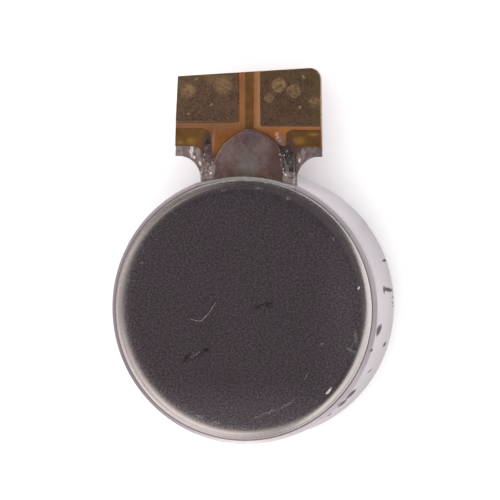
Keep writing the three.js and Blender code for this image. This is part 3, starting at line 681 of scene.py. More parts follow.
def make_film(name, a, b, clear=0.25, glints=False):
    """Amber polyimide: a is the thin part of its colour, b the deep one."""
    m = Mat(name, metallic=0.0, IOR=1.45, Specular_IOR_Level=0.30)
    cloud = m.noise(2.6, 4, 0.6)
    weave = m.noise(1.0, 3, 0.6, m.mapping(m.P, rot=rad(20), scale=(12, 30, 20), kind="POINT"))
    dust = m.range(m.noise(20, 2, 0.6), 0.70, 0.78)
    col = m.mix(m.range(cloud, 0.3, 0.72), a, b)
    col = m.mix(m.math("MULTIPLY", m.range(weave, 0.4, 0.7), 0.30), col, tuple(c * 0.62 for c in a))
    col = m.mix(m.math("MULTIPLY", dust, 0.25), col, (0.42, 0.30, 0.20))
    P = m.P
    wob = wobble(m, 5, 0.14)
    if not glints:
        side = m.range(m.x, -0.55, 0.45, 0.84, 1.12)
        col = m.mix(1.0, col, m.combine(side, side, m.math("MULTIPLY", side, side)), "MULTIPLY")
        # the film is paler where it lies over the step at the right pad and round the pads' edges
        col = m.mix(m.math("MULTIPLY", m.range(m.y, 5.10, 5.50), m.range(m.x, -0.1, 0.3, 0.15, 0.20)), col, (0.180, 0.108, 0.066))
        dim = m.math("MULTIPLY", m.range(m.x, -0.20, -0.60), m.range(m.y, 5.20, 5.45))
        col = m.mix(m.math("MULTIPLY", dim, 0.40), col, (0.105, 0.062, 0.036))
        pale = m.math("MULTIPLY", m.range(m.math("ABSOLUTE", m.math("SUBTRACT", m.x, 0.42)), 0.04, 0.16, 1.0, 0.0), m.range(m.y, 5.30, 5.45))
        pale = m.math("MAXIMUM", pale, m.math("MULTIPLY", m.range(m.math("ABSOLUTE", m.math("SUBTRACT", m.y, 5.43)), 0.0, 0.08, 1.0, 0.0), m.range(m.x, 0.3, 0.5)))
        col = m.mix(m.math("MULTIPLY", pale, 0.32), col, (0.23, 0.145, 0.085))
        # painted highlight: two pale, drip-shaped glints beside the dome
        drip_glint = m.most([m.spot(P, 0.93, 5.17, 0.050, 0.060, -20, 0.7, wobble(m, 11, 0.10)), m.spot(P, 0.975, 5.045, 0.065, 0.075, 20, 0.7, wobble(m, 11, 0.10))])
        col = m.mix(m.math("MULTIPLY", drip_glint, 0.50), col, (0.36, 0.27, 0.24))
        haze = m.spot(P, 1.03, 4.86, 0.17, 0.26, -10, 0.5, wob)
        col = m.mix(m.math("MULTIPLY", haze, 0.75), col, (0.115, 0.070, 0.062))
    if glints:
        side = m.range(m.x, 0.8, 1.2, 1.0, 0.76)
        col = m.mix(1.0, col, m.combine(side, side, side), "MULTIPLY")
        gl = m.most([m.spot(P, -1.65, 4.97, 0.13, 0.09, 0, 0.7, wob), m.spot(P, 1.60, 4.98, 0.16, 0.10, 0, 0.7, wob),
                     m.spot(P, 2.05, 5.18, 0.14, 0.05, 0, 0.7, wob), m.spot(P, -1.98, 4.92, 0.10, 0.04, 0, 0.7, wob)])
        col = m.mix(m.math("MULTIPLY", gl, 0.55), col, (0.20, 0.095, 0.010))
    spot = m.spot(P, -1.14, 5.06, 0.10, 0.17, -8, 0.5, wob)
    spot = m.math("MAXIMUM", spot, m.math("MULTIPLY", m.spot(P, 1.30, 4.93, 0.13, 0.15, 0, 0.7, wob), 0.8))
    spot = m.math("MAXIMUM", spot, m.math("MULTIPLY", m.spot(P, -1.22, 4.66, 0.17, 0.50, -4, 0.35, wob), 0.85))
    spot = m.math("MAXIMUM", spot, m.math("MULTIPLY", m.spot(P, 1.40, 4.42, 0.22, 0.48, 6, 0.35, wob), 0.9))
    ends = m.math("MULTIPLY", m.range(m.math("ABSOLUTE", m.x), 1.25, 1.40), m.range(m.y, 4.88, 4.76))
    low = m.math("MULTIPLY", m.math("MAXIMUM", m.range(m.y, 4.74, 4.36), ends), m.range(m.noise(4, 3, 0.6), 0.2, 0.5, 0.75, 1.0))
    col = m.mix(m.math("MULTIPLY", m.math("MAXIMUM", spot, low), 0.86), col, (0.040, 0.021, 0.021))
    line = m.spot(P, -0.985, 4.95, 0.035, 0.32, -6, 0.8, wobble(m, 8, 0.05))
    col = m.mix(m.math("MULTIPLY", line, 0.42), col, (0.22, 0.125, 0.105))
    m.b.inputs["Coat Weight"].default_value = clear
    m.b.inputs["Coat Roughness"].default_value = 0.15
    m.set(Base_Color=col, Roughness=m.range(cloud, 0.3, 0.7, 0.34, 0.46),
          Normal=m.bump(m.math("ADD", m.math("MULTIPLY", cloud, 2.0), m.math("MULTIPLY", weave, 0.8)), 0.006, 0.5))
    return m.m


def make_glue():
    m = Mat("clear_adhesive", metallic=0.0, IOR=1.5)
    cloud = m.noise(5, 4, 0.65)
    fleck = m.range(m.noise(15, 3, 0.7), 0.60, 0.68)
    col = m.mix(m.range(cloud, 0.38, 0.66), (0.032, 0.018, 0.017), (0.090, 0.060, 0.055))
    pale = m.math("MULTIPLY", m.range(m.x, -0.3, -0.6), m.range(m.y, 4.42, 4.16))
    col = m.mix(m.math("MULTIPLY", pale, m.range(cloud, 0.30, 0.60, 0.45, 0.85)), col, (0.165, 0.125, 0.120))
    deep = m.most([m.math("MULTIPLY", m.range(m.x, 0.2, 0.6), m.range(m.y, 4.02, 4.12)), m.math("MULTIPLY", m.range(m.x, -0.3, -0.6), m.range(m.y, 4.80, 4.95))])
    foot = m.math("MULTIPLY", m.range(m.x, 0.2, 0.6), m.range(m.y, 4.10, 4.00))
    col = m.mix(m.math("MULTIPLY", foot, 0.75), col, (0.160, 0.125, 0.120))
    shade = m.range(deep, 0.0, 1.0, 1.0, 0.46)
    col = m.mix(1.0, col, m.combine(shade, shade, shade), "MULTIPLY")
    col = m.mix(m.math("MULTIPLY", fleck, m.range(deep, 0.0, 1.0, 0.50, 0.15)), col, (0.27, 0.23, 0.215))
    m.b.inputs["Coat Weight"].default_value = 0.5
    m.b.inputs["Coat Roughness"].default_value = 0.08
    m.set(Base_Color=col, Roughness=m.range(cloud, 0.3, 0.7, 0.20, 0.36),
          Normal=m.bump(m.math("ADD", m.noise(16, 4, 0.7), m.math("MULTIPLY", cloud, 1.5)), 0.02, 0.6))
    return m.m


def make_flake_glint():
    # pale crumbs of adhesive whose light colour also stands in for painted glints along the dome's sides
    m = Mat("adhesive_flake_glint", metallic=0.0, IOR=1.5)
    n = m.noise(22, 3, 0.7)
    m.set(Base_Color=m.mix(m.range(n, 0.35, 0.65), (0.16, 0.130, 0.125), (0.66, 0.60, 0.575)), Roughness=m.range(n, 0.3, 0.7, 0.3, 0.5),
          Normal=m.bump(n, 0.01, 0.6))
    return m.m


def make_plain_metal(name, a, b, rough=(0.2, 0.32), scale=18, metallic=1.0, bump=0.003, stretch=(1, 1, 1)):
    m = Mat(name, metallic=metallic)
    n1 = m.noise(1.0, 4, 0.6, m.mapping(m.P, scale=tuple(scale * s for s in stretch), kind="POINT"))
    n2 = m.noise(scale * 0.2, 3, 0.55)
    col = m.mix(m.range(n1, 0.3, 0.7), a, b)
    col = m.mix(m.math("MULTIPLY", m.range(n2, 0.5, 0.8), 0.35), col, tuple(c * 0.7 for c in a))
    m.set(Base_Color=col, Roughness=m.range(n2, 0.3, 0.7, *rough), Normal=m.bump(n1, bump, 0.6))
    return m.m


def make_plain_plastic(name, a, b, rough=(0.45, 0.6), scale=14, bump=0.004, **kw):
    m = Mat(name, metallic=0.0, **kw)
    n1 = m.noise(scale, 4, 0.6)
    n2 = m.noise(scale * 0.18, 3, 0.55)
    col = m.mix(m.range(n2, 0.3, 0.7), a, b)
    m.set(Base_Color=col, Roughness=m.range(n1, 0.3, 0.7, *rough), Normal=m.bump(n1, bump, 0.5))
    return m.m


CASE = make_case_steel()
COVER = make_cover_steel()
STAINLESS = make_stainless()
PAD = make_gold_pad()
FILM = make_film("polyimide_orange", (0.156, 0.046, 0.004), (0.206, 0.067, 0.007), clear=0.12)
FIELD = make_film("polyimide_over_copper", (0.068, 0.0275, 0.004), (0.108, 0.046, 0.006), clear=0.12, glints=True)
GLUE = make_glue()
FLAKE_GLINT = make_flake_glint()
CHROME = make_plain_metal("shaft_ground", (0.72, 0.73, 0.75), (0.80, 0.81, 0.83), (0.08, 0.16), 30, stretch=(1, 1, 6))
MAGNET = make_plain_metal("magnet_nickel", (0.33, 0.33, 0.35), (0.45, 0.45, 0.47), (0.38, 0.5), 16)
COPPER = make_plain_metal("copper_foil", (0.62, 0.33, 0.17), (0.74, 0.42, 0.22), (0.25, 0.38), 20, stretch=(3, 0.4, 1))
WIRE = make_plain_metal("enamelled_wire", (0.52, 0.20, 0.07), (0.70, 0.30, 0.11), (0.18, 0.28), 24)
SPRING = make_plain_metal("brush_spring_alloy", (0.78, 0.60, 0.30), (0.86, 0.70, 0.40), (0.16, 0.28), 22, stretch=(4, 0.5, 1))
BRONZE = make_plain_metal("sintered_bronze", (0.42, 0.28, 0.12), (0.62, 0.45, 0.23), (0.45, 0.6), 34, bump=0.012)
SOLDER = make_plain_metal("solder", (0.74, 0.76, 0.78), (0.84, 0.85, 0.86), (0.12, 0.24), 9)
GOLD = make_plain_metal("commutator_gold", (0.83, 0.62, 0.26), (0.90, 0.72, 0.36), (0.14, 0.26), 26)
TUNGSTEN = make_plain_metal("tungsten_sinter", (0.36, 0.36, 0.38), (0.50, 0.50, 0.52), (0.4, 0.55), 28, bump=0.008)
RESIN = make_plain_plastic("resin_moulded", (0.018, 0.020, 0.024), (0.034, 0.036, 0.042))
BOARD = make_plain_plastic("board_mask", (0.012, 0.115, 0.050), (0.022, 0.160, 0.075), (0.3, 0.42))
WASHER = make_plain_plastic("washer_polymer", (0.78, 0.74, 0.66), (0.86, 0.83, 0.76), (0.4, 0.5))
TAPE = make_plain_plastic("adhesive_film", (0.60, 0.55, 0.36), (0.70, 0.65, 0.46), (0.3, 0.4))

# ---------------------------------------------------------- dimensions (mm)
CASE_R, BORE_R, RIM_Z, SHEET = 4.0, 3.87, 3.15, 0.13
COVER_R, SHOULDER, COVER_T, CASE_H, SKIRT_Z = 3.86, 0.35, 0.20, 3.40, 2.93
TONGUE_Z = 3.05
FILM_OUT = 2.745
NECK_L, NECK_R = -1.39, 1.515

# ------------------------------------------------------------------ the case
profile = [(0, 0), (1.2, 0), (2.4, 0), (3.3, 0)]
profile += arc(CASE_R - 0.22, 0.22, 0.22, -90, 0, 10)
profile += [(CASE_R, z) for z in (0.6, 1.1, 1.6, 2.1, 2.6, 2.93)]
profile += [(3.996, 2.955), (3.987, 2.975), (3.984, 2.988), (3.989, 3.002), (3.997, 3.018), (3.998, 3.030), (3.992, 3.045)]
profile += [(3.972, 3.068), (3.950, 3.091), (3.925, 3.115), (3.905, 3.132), (3.893, 3.141), (3.885, 3.146), (3.880, 3.1465),
            (3.876, 3.143), (3.873, 3.133), (3.871, 3.118)]
profile += [(BORE_R, 3.10), (BORE_R, 2.0), (BORE_R, 1.0)]
profile += arc(BORE_R - 0.12, 0.25, 0.12, 0, -90, 5)
profile += [(2.4, SHEET), (0.66, SHEET), (0.62, SHEET + 0.03), (0.62, 0.37), (0.59, 0.40),
            (0.33, 0.40), (0.31, 0.38), (0.31, SHEET), (0, SHEET)]
case = lathe("case_shell", profile, 288)
x0, x1, r, zb = NECK_L - 0.03, NECK_R + 0.03, 0.10, FILM_OUT - 0.155
notch = arc(x0 + r, zb + r, r, 180, 270, 6) + arc(x1 - r, zb + r, r, 270, 360, 6) + [(x1, 4.0), (x0, 4.0)]
nv, nf, N = [], [], len(notch)
for yy in (2.6, 4.6):
    nv += [(x, yy, z) for x, z in notch]
nf += [tuple(range(N)), tuple(range(2 * N - 1, N - 1, -1))]
nf += [(k, k + N, (k + 1) % N + N, (k + 1) % N) for k in range(N)]
boolean(case, new_object("cut_notch", nv, nf), "DIFFERENCE")
place(case, CASE, "stator", ["case_can"])


# ----------------------------------------------------------------- the cover
def shoulder_profile():
    """(r, z) down the bent edge: the slope grows slowly, then fast."""
    table = [(3.05, 0.0), (3.25, 0.6), (3.36, 1.6), (3.45, 3.2), (3.51, 6.0), (3.57, 10.5), (3.63, 17.0), (3.69, 25.0),
             (3.75, 33.0), (3.80, 39.5), (3.84, 44.0), (3.852, 47.0), (3.858, 66.0), (3.86, 86.0)]
    rs = [t[0] for t in table]
    an = [t[1] for t in table]
    out, z, last = [], CASE_H, rs[0]
    fine = list(np.linspace(rs[0], 3.45, 9)) + list(np.linspace(3.47, 3.84, 24)) + [3.846, 3.852, 3.8555, 3.858, 3.8595, 3.86]
    out.append((rs[0], CASE_H))
    for r in fine[1:]:
        for k in range(8):
            q = last + (r - last) * (k + 0.5) / 8
            z -= math.tan(rad(float(np.interp(q, rs, an)))) * (r - last) / 8
        last = r
        out.append((r, z))
    return out


def face_wave(x, y, z):
    if z < CASE_H - 0.02:
        return 0.0
    r = math.hypot(x, y)
    return -0.0035 * max(0.0, 1 - r / 3.3) * (0.5 + 0.5 * noise.noise(Vector((x * 0.35, y * 0.35, 2.0))))


edge = shoulder_profile()
profile = [(0, CASE_H - 0.002)] + [(r, CASE_H) for r in np.linspace(0.25, 2.9, 12)] + edge
profile += [(3.861, 3.150), (3.863, 3.132), (3.867, 3.122), (3.868, 3.110), (3.864, 3.095), (COVER_R, 3.085)]
profile += [(COVER_R, SKIRT_Z + 0.02), (COVER_R - 0.02, SKIRT_Z), (COVER_R - COVER_T + 0.02, SKIRT_Z),
            (COVER_R - COVER_T, SKIRT_Z + 0.02)]
profile += arc(COVER_R - 0.36, CASE_H - 0.42, 0.16, 0, 90, 6)
profile += [(r, CASE_H - 0.26) for r in (3.2,)] + [(r, CASE_H - COVER_T) for r in (2.9, 1.4)] + [(0, CASE_H - COVER_T)]
cover = lathe("cover_face", profile, 288, face_wave)
v = []
for z in (2.0, TONGUE_Z - 0.0605):
    v += [(-1.45, 2.6, z), (1.58, 2.6, z), (1.58, 4.5, z), (-1.45, 4.5, z)]
f = [(0, 1, 2, 3), (4, 5, 6, 7), (0, 1, 5, 4), (1, 2, 6, 5), (2, 3, 7, 6), (3, 0, 4, 7)]
boolean(cover, new_object("cut_skirt", v, f), "DIFFERENCE")
tongue_curve = spline([
    (1.20, 3.72), (1.205, 4.17), (1.14, 4.52), (1.03, 4.78), (0.87, 4.99),
    (0.67, 5.15), (0.44, 5.26), (0.20, 5.335), (0.03, 5.33), (-0.14, 5.25), (-0.36, 5.11),
    (-0.67, 4.85), (-0.86, 4.53), (-0.96, 4.25), (-1.06, 3.72)], 5)
root = [(3.66 * math.cos(rad(a)), 3.66 * math.sin(rad(a))) for a in np.linspace(106.8, 70.9, 14)]
tongue = rslab("tongue", tongue_curve + root, TONGUE_Z - COVER_T, TONGUE_Z, 0.075, 0.02, 7)
boolean(cover, tongue, "UNION")
# the bead that closes the rim's line in front of the neck
bead_sec = [(3.842, 3.00), (3.850, 3.085), (3.858, 3.112), (3.868, 3.124), (3.880, 3.128), (3.895, 3.123), (3.910, 3.108),
            (3.924, 3.086), (3.932, 3.060), (3.934, 2.99)]
bv, bf, M = [], [], len(bead_sec)
a0, a1, steps = 66.95, 111.1, 44
for i in range(steps + 1):
    t = abs(2.0 * i / steps - 1.0)
    a = rad(a0 + (a1 - a0) * i / steps)
    wide = 0.062 * t ** 5
    for r, z in bead_sec:
        k = (r - 3.842) / 0.092
        q = r + wide * k + 0.010 * t ** 5 + 0.004 * noise.noise(Vector((6.0 * a * 3.9, 0.5, k))) * k
        zz = z + (0.018 * t ** 5 if z > 3.1 else 0.0) + (0.005 * noise.noise(Vector((4.0 * a * 3.9, 7.0, 0.0))) if z > 3.05 else 0.0)
        bv.append((q * math.cos(a), q * math.sin(a), zz))
for i in range(steps):
    for k in range(M):
        k2 = (k + 1) % M
        bf.append((i * M + k, (i + 1) * M + k, (i + 1) * M + k2, i * M + k2))
bf += [tuple(range(M)), tuple(steps * M + k for k in range(M))[::-1]]
boolean(cover, new_object("bead", bv, bf), "UNION")
drop_flaps(cover)
finish_mesh(cover, 42)
place(cover, COVER, "stator", ["cover_plate"])

# ------------------------------------------------------------------- the tab
TOP = 7.1445
corner_tr = spline([(2.235, 6.80), (2.205, 6.93), (2.145, 7.03), (2.05, 7.105), (1.93, 7.140), (1.80, 7.136)], 4)
corner_tr = [(x, min(y, TOP)) for x, y in corner_tr]
fillet_r = spline([(NECK_R, 3.86), (1.545, 4.03), (1.60, 4.16), (1.69, 4.29), (1.81, 4.40), (1.95, 4.48), (2.10, 4.515)], 5)
fillet_l = spline([(-1.98, 4.51), (-1.83, 4.47), (-1.70, 4.41), (-1.58, 4.31), (-1.49, 4.19), (-1.43, 4.07), (-1.395, 3.94)], 5)
plate_outline = ([(NECK_L, 3.68), (NECK_R, 3.68)] + fillet_r + [(2.277, 4.517)] + corner_tr
                 + [(-2.072, 6.882), (-2.157, 4.51)] + fillet_l)
plate = rslab("stiffener_plate", plate_outline, FILM_OUT - 0.125, FILM_OUT - 0.005, 0.008, 0.012, 2)


def rib(cx, y0, y1, w, h, z):
    """A low pressed rib along Y."""
    n, m_ = 8, 10
    vs, fs = [], []
    for j in range(m_ + 1):
        t = j / m_
        y = y0 + (y1 - y0) * t
        k = math.sin(math.pi * min(max(t, 0.02), 0.98)) ** 0.5
        for i in range(n + 1):
            a = math.pi * i / n
            vs.append((cx + 0.5 * w * k * math.cos(a) + 0.012 * math.sin(9 * t + cx), y, z + h * k * math.sin(a)))
    for j in range(m_):
        for i in range(n):
            q = j * (n + 1) + i
            fs.append((q, q + 1, q + n + 2, q + n + 1))
        q = j * (n + 1)
        fs.append((q, q + n + 1, q + 2 * n + 1, q + n))
    fs += [tuple(range(n + 1))[::-1], tuple(m_ * (n + 1) + i for i in range(n + 1))]
    return new_object("rib", vs, fs, 60)


ZP = FILM_OUT - 0.010
ribs = [rib(-1.70, 4.50, 4.80, 0.085, 0.035, ZP), rib(-1.49, 4.47, 4.78, 0.10, 0.028, ZP), rib(-1.95, 4.55, 4.78, 0.07, 0.015, ZP),
        rib(1.74, 4.50, 4.79, 0.09, 0.028, ZP), rib(1.98, 4.55, 4.78, 0.07, 0.014, ZP)]
for q in ribs:
    boolean(plate, q, "UNION")
place(plate, STAINLESS, "stator", ["tab_stiffener"])

WING = 4.81
film_r = spline([(1.34, 4.02), (1.36, 4.22), (1.42, 4.45), (1.52, 4.64), (1.66, 4.76), (1.80, WING)], 5)
film_l = spline([(-1.55, WING), (-1.42, 4.75), (-1.32, 4.60), (-1.25, 4.38), (-1.22, 4.10)], 5)
film_outline = ([(-1.22, 3.60), (1.34, 3.60)] + film_r + [(2.272, WING)] + corner_tr
                + [(-2.072, 6.882), (-2.146, WING)] + film_l)
base = rslab("base_film", film_outline, FILM_OUT, FILM_OUT + 0.045, 0.010, 0.0, 2)


def strip_height(y):
    """The film steps down by 0.35 mm as it comes out of the case."""
    return -0.35 * min(1.0, max(0.0, (y - 3.20) / 0.37))


def sheet(name, outline, holes, z, t, step=0.05):
    """A thin sheet with a top and a bottom side, folded along strip_height."""
    bm = bmesh.new()
    loops = [outline] + holes
    edges = []
    for lp in loops:
        vs = []
        n = len(lp)
        for i in range(n):
            p, q = Vector(lp[i]), Vector(lp[(i + 1) % n])
            k = max(1, int((q - p).length / 0.15))
            vs += [bm.verts.new((*p.lerp(q, j / k), 0.0)) for j in range(k)]
        edges += [bm.edges.new((vs[i], vs[(i + 1) % len(vs)])) for i in range(len(vs))]
    bmesh.ops.triangle_fill(bm, use_beauty=True, use_dissolve=False, edges=edges)
    for y in (3.20, 3.26, 3.32, 3.38, 3.44, 3.50, 3.57):
        geom = list(bm.verts) + list(bm.edges) + list(bm.faces)
        bmesh.ops.bisect_plane(bm, geom=geom, plane_co=(0, y, 0), plane_no=(0, 1, 0))
    for fc in bm.faces:
        if fc.normal.z < 0:
            fc.normal_flip()
    bm.verts.index_update()
    n = len(bm.verts)
    vs = [(q.co.x, q.co.y, z + strip_height(q.co.y)) for q in bm.verts]
    vs += [(x, y, w + t) for x, y, w in vs]
    fs = []
    for fc in bm.faces:
        ids = [q.index for q in fc.verts]
        fs.append(tuple(ids[::-1]))
        fs.append(tuple(i + n for i in ids))
    for e in bm.edges:
        if len(e.link_faces) == 1:
            i, j = e.verts[0].index, e.verts[1].index
            fs.append((i, j, j + n, i + n))
    bm.free()
    return new_object(name, vs, fs, 30)


def circle(cx, cy, r, n=48):
    return [(cx + r * math.cos(2 * math.pi * i / n), cy + r * math.sin(2 * math.pi * i / n)) for i in range(n)]


a_in = math.degrees(math.acos(1.25 / 1.56))
a_out = math.degrees(math.acos(-1.15 / 1.56))
inner_outline = ([(1.25, 3.595), (-1.15, 3.595)]
                 + [(1.56 * math.cos(rad(a)), 1.56 * math.sin(rad(a))) for a in np.linspace(a_out, 360 + a_in, 72)])
windows = [circle(0, 0, 0.5)]
for sx in (-1, 1):
    cx = sx * 0.90
    windows.append([(cx - 0.20, 0.42), (cx + 0.20, 0.42), (cx + 0.20, 1.13), (cx - 0.20, 1.13)])
base_in = sheet("base_in", inner_outline, windows, FILM_OUT + 0.35, 0.045)
base = join("base_film", base, base_in)
place(base, FILM, "stator", ["fpc_base_film"])

# contact pads, each in its window of the cover film
pad_l = rslab("pad_left", [(-2.134, 5.52), (-0.215, 5.545), (-0.232, 7.000), (-2.068, 6.876)], 2.8145, 2.833, 0.008, 0, 3)
place(pad_l, PAD, "stator", ["contact_pad_left"])
corner_in = [(x - 0.006, y - 0.006) for x, y in corner_tr]
pad_r = rslab("pad_right", [(0.440, 5.425), (2.252, 5.435)] + corner_in + [(0.430, 7.036)], 2.8145, 2.833, 0.008, 0, 3)
place(pad_r, PAD, "stator", ["contact_pad_right"])

# cover film: a T of amber film with a window for each pad, and raised fields
# where it runs over copper
t_out = ([(-1.22, 3.60), (1.34, 3.60)] + film_r + [(2.272, WING), (2.258, 5.418), (0.52, 5.408)]
         + arc(0.52, 5.488, 0.09, -90, -180, 4) + [(0.418, 7.044), (-0.218, 7.002)]
         + [(-0.200, 5.62)] + arc(-0.28, 5.60, 0.08, 0, -90, 4)[1:] + [(-2.128, 5.500), (-2.144, WING)] + film_l)
coverlay = rslab("cover_film", t_out, 2.8125, 2.834, 0.010, 0.0, 3)
coverlay.data.materials.append(FILM)
inner_cover = sheet("cover_in", inner_outline, windows, 2.8125 + 0.35, 0.031)
inner_cover.data.materials.append(FILM)
fields = []
for nm, pts in (
        ("f1", [(-2.135, 5.345), (-1.28, 5.35), (-1.18, 5.30), (-1.10, 5.20), (-1.06, 5.05), (-1.10, 4.90), (-1.20, 4.815), (-2.140, 4.822)]),
        ("f2", [(1.20, 5.22), (1.36, 5.325), (2.250, 5.318), (2.260, 4.815), (1.80, 4.818), (1.62, 4.80), (1.42, 4.70), (1.22, 4.82)]),
        ("f3", [(-0.035, 5.0), (0.240, 5.0), (0.238, 5.6), (0.236, 7.028), (-0.034, 7.010), (-0.035, 5.6)])):
    ff = rslab(nm, pts, 2.815, 2.844, 0.026, 0.0, 4)
    ff.data.materials.append(FIELD)
    fields.append(ff)
coverlay = join("cover_film", coverlay, inner_cover, *fields)
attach(coverlay, "stator")
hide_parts("fpc_coverlay")


# ------------------------------------------------------------------ the glue
def heap(name, x0, x1, y0, y1, top, low, step=0.022):
    """A drape of dried adhesive: top(x, y) over a flat underside at low."""
    nx, ny = int((x1 - x0) / step) + 1, int((y1 - y0) / step) + 1
    vs, fs = [], []
    for j in range(ny):
        for i in range(nx):
            x, y = x0 + (x1 - x0) * i / (nx - 1), y0 + (y1 - y0) * j / (ny - 1)
            vs.append((x, y, max(low + 0.004, top(x, y))))
    n = len(vs)
    vs += [(x, y, low) for x, y, _ in vs]
    for j in range(ny - 1):
        for i in range(nx - 1):
            q = j * nx + i
            fs.append((q, q + 1, q + nx + 1, q + nx))
            fs.append((q + n, q + nx + n, q + nx + 1 + n, q + 1 + n))
    ring_ids = [i for i in range(nx)] + [j * nx + nx - 1 for j in range(1, ny)]
    ring_ids += [(ny - 1) * nx + i for i in range(nx - 2, -1, -1)] + [j * nx for j in range(ny - 2, 0, -1)]
    for k in range(len(ring_ids)):
        p, q = ring_ids[k], ring_ids[(k + 1) % len(ring_ids)]
        fs.append((p, q, q + n, p + n))
    return new_object(name, vs, fs, 70)


def lumps(x, y, seed):
    p = Vector((x, y, seed))
    return 0.030 * noise.noise(p * 4.0) + 0.018 * noise.noise(p * 9.0) + 0.010 * noise.noise(p * 20.0)


LX = ([3.60, 4.25, 4.53, 4.85, 5.11], [-1.03, -0.96, -0.86, -0.67, -0.36])
RX = ([3.60, 4.17, 4.52, 4.78, 4.99], [1.20, 1.205, 1.14, 1.03, 0.87])


def ease(t):
    t = min(1.0, max(0.0, t))
    return t * t * (3 - 2 * t)


def left_top(x, y):
    c = float(np.interp(y, *LX))
    d = x - c
    rag = 0.10 * noise.noise(Vector((x * 5.0, y * 5.0, 21.0)))
    lo = float(np.interp(y, (4.50, 4.70, 4.90, 5.10), (-1.40, -1.33, -1.27, -1.20))) + 0.5 * rag
    hi = float(np.interp(y, (4.30, 4.45, 4.80, 5.10), (-0.70, -0.985, -0.990, -1.03))) + 0.3 * rag
    film = 0.156 * ease((5.13 + rag - y) / 0.09) * ease((x - lo) / 0.06) * ease((hi - x) / 0.06)
    ridge = (0.03 + 0.335 * math.exp(-(d / (0.17 if d < 0 else 0.30)) ** 2)) * min(1.0, max(0.0, (4.62 + rag - y) / 0.35)) ** 0.5
    side = ease((x + 1.375) / 0.05)
    fill = 0.27 * ease((4.12 + rag - y) / 0.16)
    z = 2.70 + max(film, ridge, fill) * side + lumps(x, y, 3.0) * (0.35 + 0.65 * ease((4.7 - y) / 0.3)) * ease((5.1 - y) / 0.2)
    return min(z, 2.985) if math.hypot(x, y) < 3.950 else z


def right_top(x, y):
    c = float(np.interp(y, *RX))
    d = x - c
    rag = 0.10 * noise.noise(Vector((x * 5.0, y * 5.0, 33.0)))
    hi = float(np.interp(y, (4.45, 4.60, 4.75, 4.90), (1.53, 1.50, 1.42, 1.34))) + 0.5 * rag
    film = 0.156 * ease((4.92 + rag - y) / 0.09) * ease((x - 1.05 - 0.4 * rag) / 0.06) * ease((hi - x) / 0.06)
    ridge = (0.03 + 0.335 * math.exp(-(d / (0.15 if d > 0 else 0.22)) ** 2)) * min(1.0, max(0.0, (4.95 + rag - y) / 0.40)) ** 0.5
    side = ease((1.500 - x) / 0.05)
    fill = 0.31 * ease((4.04 + rag - y) / 0.12)
    z = 2.70 + max(film, ridge, fill) * side + lumps(x, y, 8.0) * (0.35 + 0.65 * ease((4.7 - y) / 0.3)) * ease((5.0 - y) / 0.2)
    return min(z, 2.985) if math.hypot(x, y) < 3.950 else z


def flake(name, cx, cy, z, rx, ry, rz, seed, turn=0.0):
    bm = bmesh.new()
    bmesh.ops.create_icosphere(bm, subdivisions=3, radius=1.0)
    vs = []
    t = rad(turn)
    for q in bm.verts:
        p = q.co.copy()
        d = 1 + 0.45 * noise.noise(p * 1.7 + Vector((seed, 0, 0))) + 0.25 * noise.noise(p * 4.0 + Vector((0, seed, 0)))
        x, y = p.x * rx * d, p.y * ry * d
        vs.append((cx + x * math.cos(t) - y * math.sin(t), cy + x * math.sin(t) + y * math.cos(t), z + p.z * rz * d))
    bm.verts.index_update()
    fs = [tuple(q.index for q in fc.verts) for fc in bm.faces]
    bm.free()
    o = new_object(name, vs, fs, 80)
    o.data.materials.append(FLAKE_GLINT)
    return o


def top_of(f, x, y):
    """Height of what a crumb at (x, y) lies on: the adhesive or the dome beside it."""
    c = max(f(x, y), 2.838)
    c0, c1 = float(np.interp(y, *LX)), float(np.interp(y, *RX))
    return max(c, TONGUE_Z - 0.01) if c0 + 0.03 < x < c1 - 0.03 else c + 0.004


left = heap("adhesive_left", -1.385, -0.55, 3.70, 5.20, left_top, 2.695)
left.data.materials.append(GLUE)
bits = [flake("k", x, y, top_of(left_top, x, y), a, b, 0.013, 1.3 * i, t) for i, (x, y, a, b, t) in enumerate((
    (-1.147, 4.283, 0.026, 0.012, 30), (-1.010, 4.020, 0.044, 0.034, 10), (-1.20, 4.09, 0.022, 0.012, 60), (-0.985, 4.33, 0.034, 0.012, -35),
    (-0.925, 4.26, 0.022, 0.010, -50), (-1.06, 4.17, 0.030, 0.020, 40), (-1.10, 4.06, 0.026, 0.014, -20), (-1.28, 4.40, 0.014, 0.030, 8),
    (-1.25, 4.56, 0.010, 0.024, -12), (-0.98, 4.12, 0.018, 0.012, 20), (-1.17, 3.98, 0.020, 0.016, 0)))]
left = join("adhesive_left", left, *bits)
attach(left, "stator")
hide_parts("glue_bead_left")
rightb = heap("adhesive_right", 0.70, 1.508, 3.70, 5.02, right_top, 2.695)
rightb.data.materials.append(GLUE)
bits = [flake("k", x, y, top_of(right_top, x, y), a, b, 0.013, 2.1 * i + 5, t) for i, (x, y, a, b, t) in enumerate((
    (0.960, 5.085, 0.018, 0.030, -20), (1.030, 4.985, 0.020, 0.014, 30),
    (1.250, 4.690, 0.034, 0.012, 48), (1.070, 4.590, 0.036, 0.012, 12), (1.185, 4.560, 0.030, 0.011, 55), (1.125, 4.545, 0.018, 0.012, -30),
    (1.095, 4.420, 0.009, 0.060, 4), (1.105, 4.290, 0.009, 0.050, -6), (1.165, 4.160, 0.026, 0.024, 0), (1.130, 4.060, 0.012, 0.014, 30),
    (1.240, 3.995, 0.040, 0.026, -30), (1.175, 4.070, 0.014, 0.030, 30), (1.335, 3.960, 0.036, 0.016, -25), (1.420, 4.020, 0.012, 0.016, 0),
    (1.30, 4.55, 0.016, 0.011, 40), (1.36, 4.36, 0.011, 0.016, 0), (1.22, 4.36, 0.010, 0.013, 20)))]
rightb = join("adhesive_right", rightb, *bits)
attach(rightb, "stator")
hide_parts("glue_bead_right")

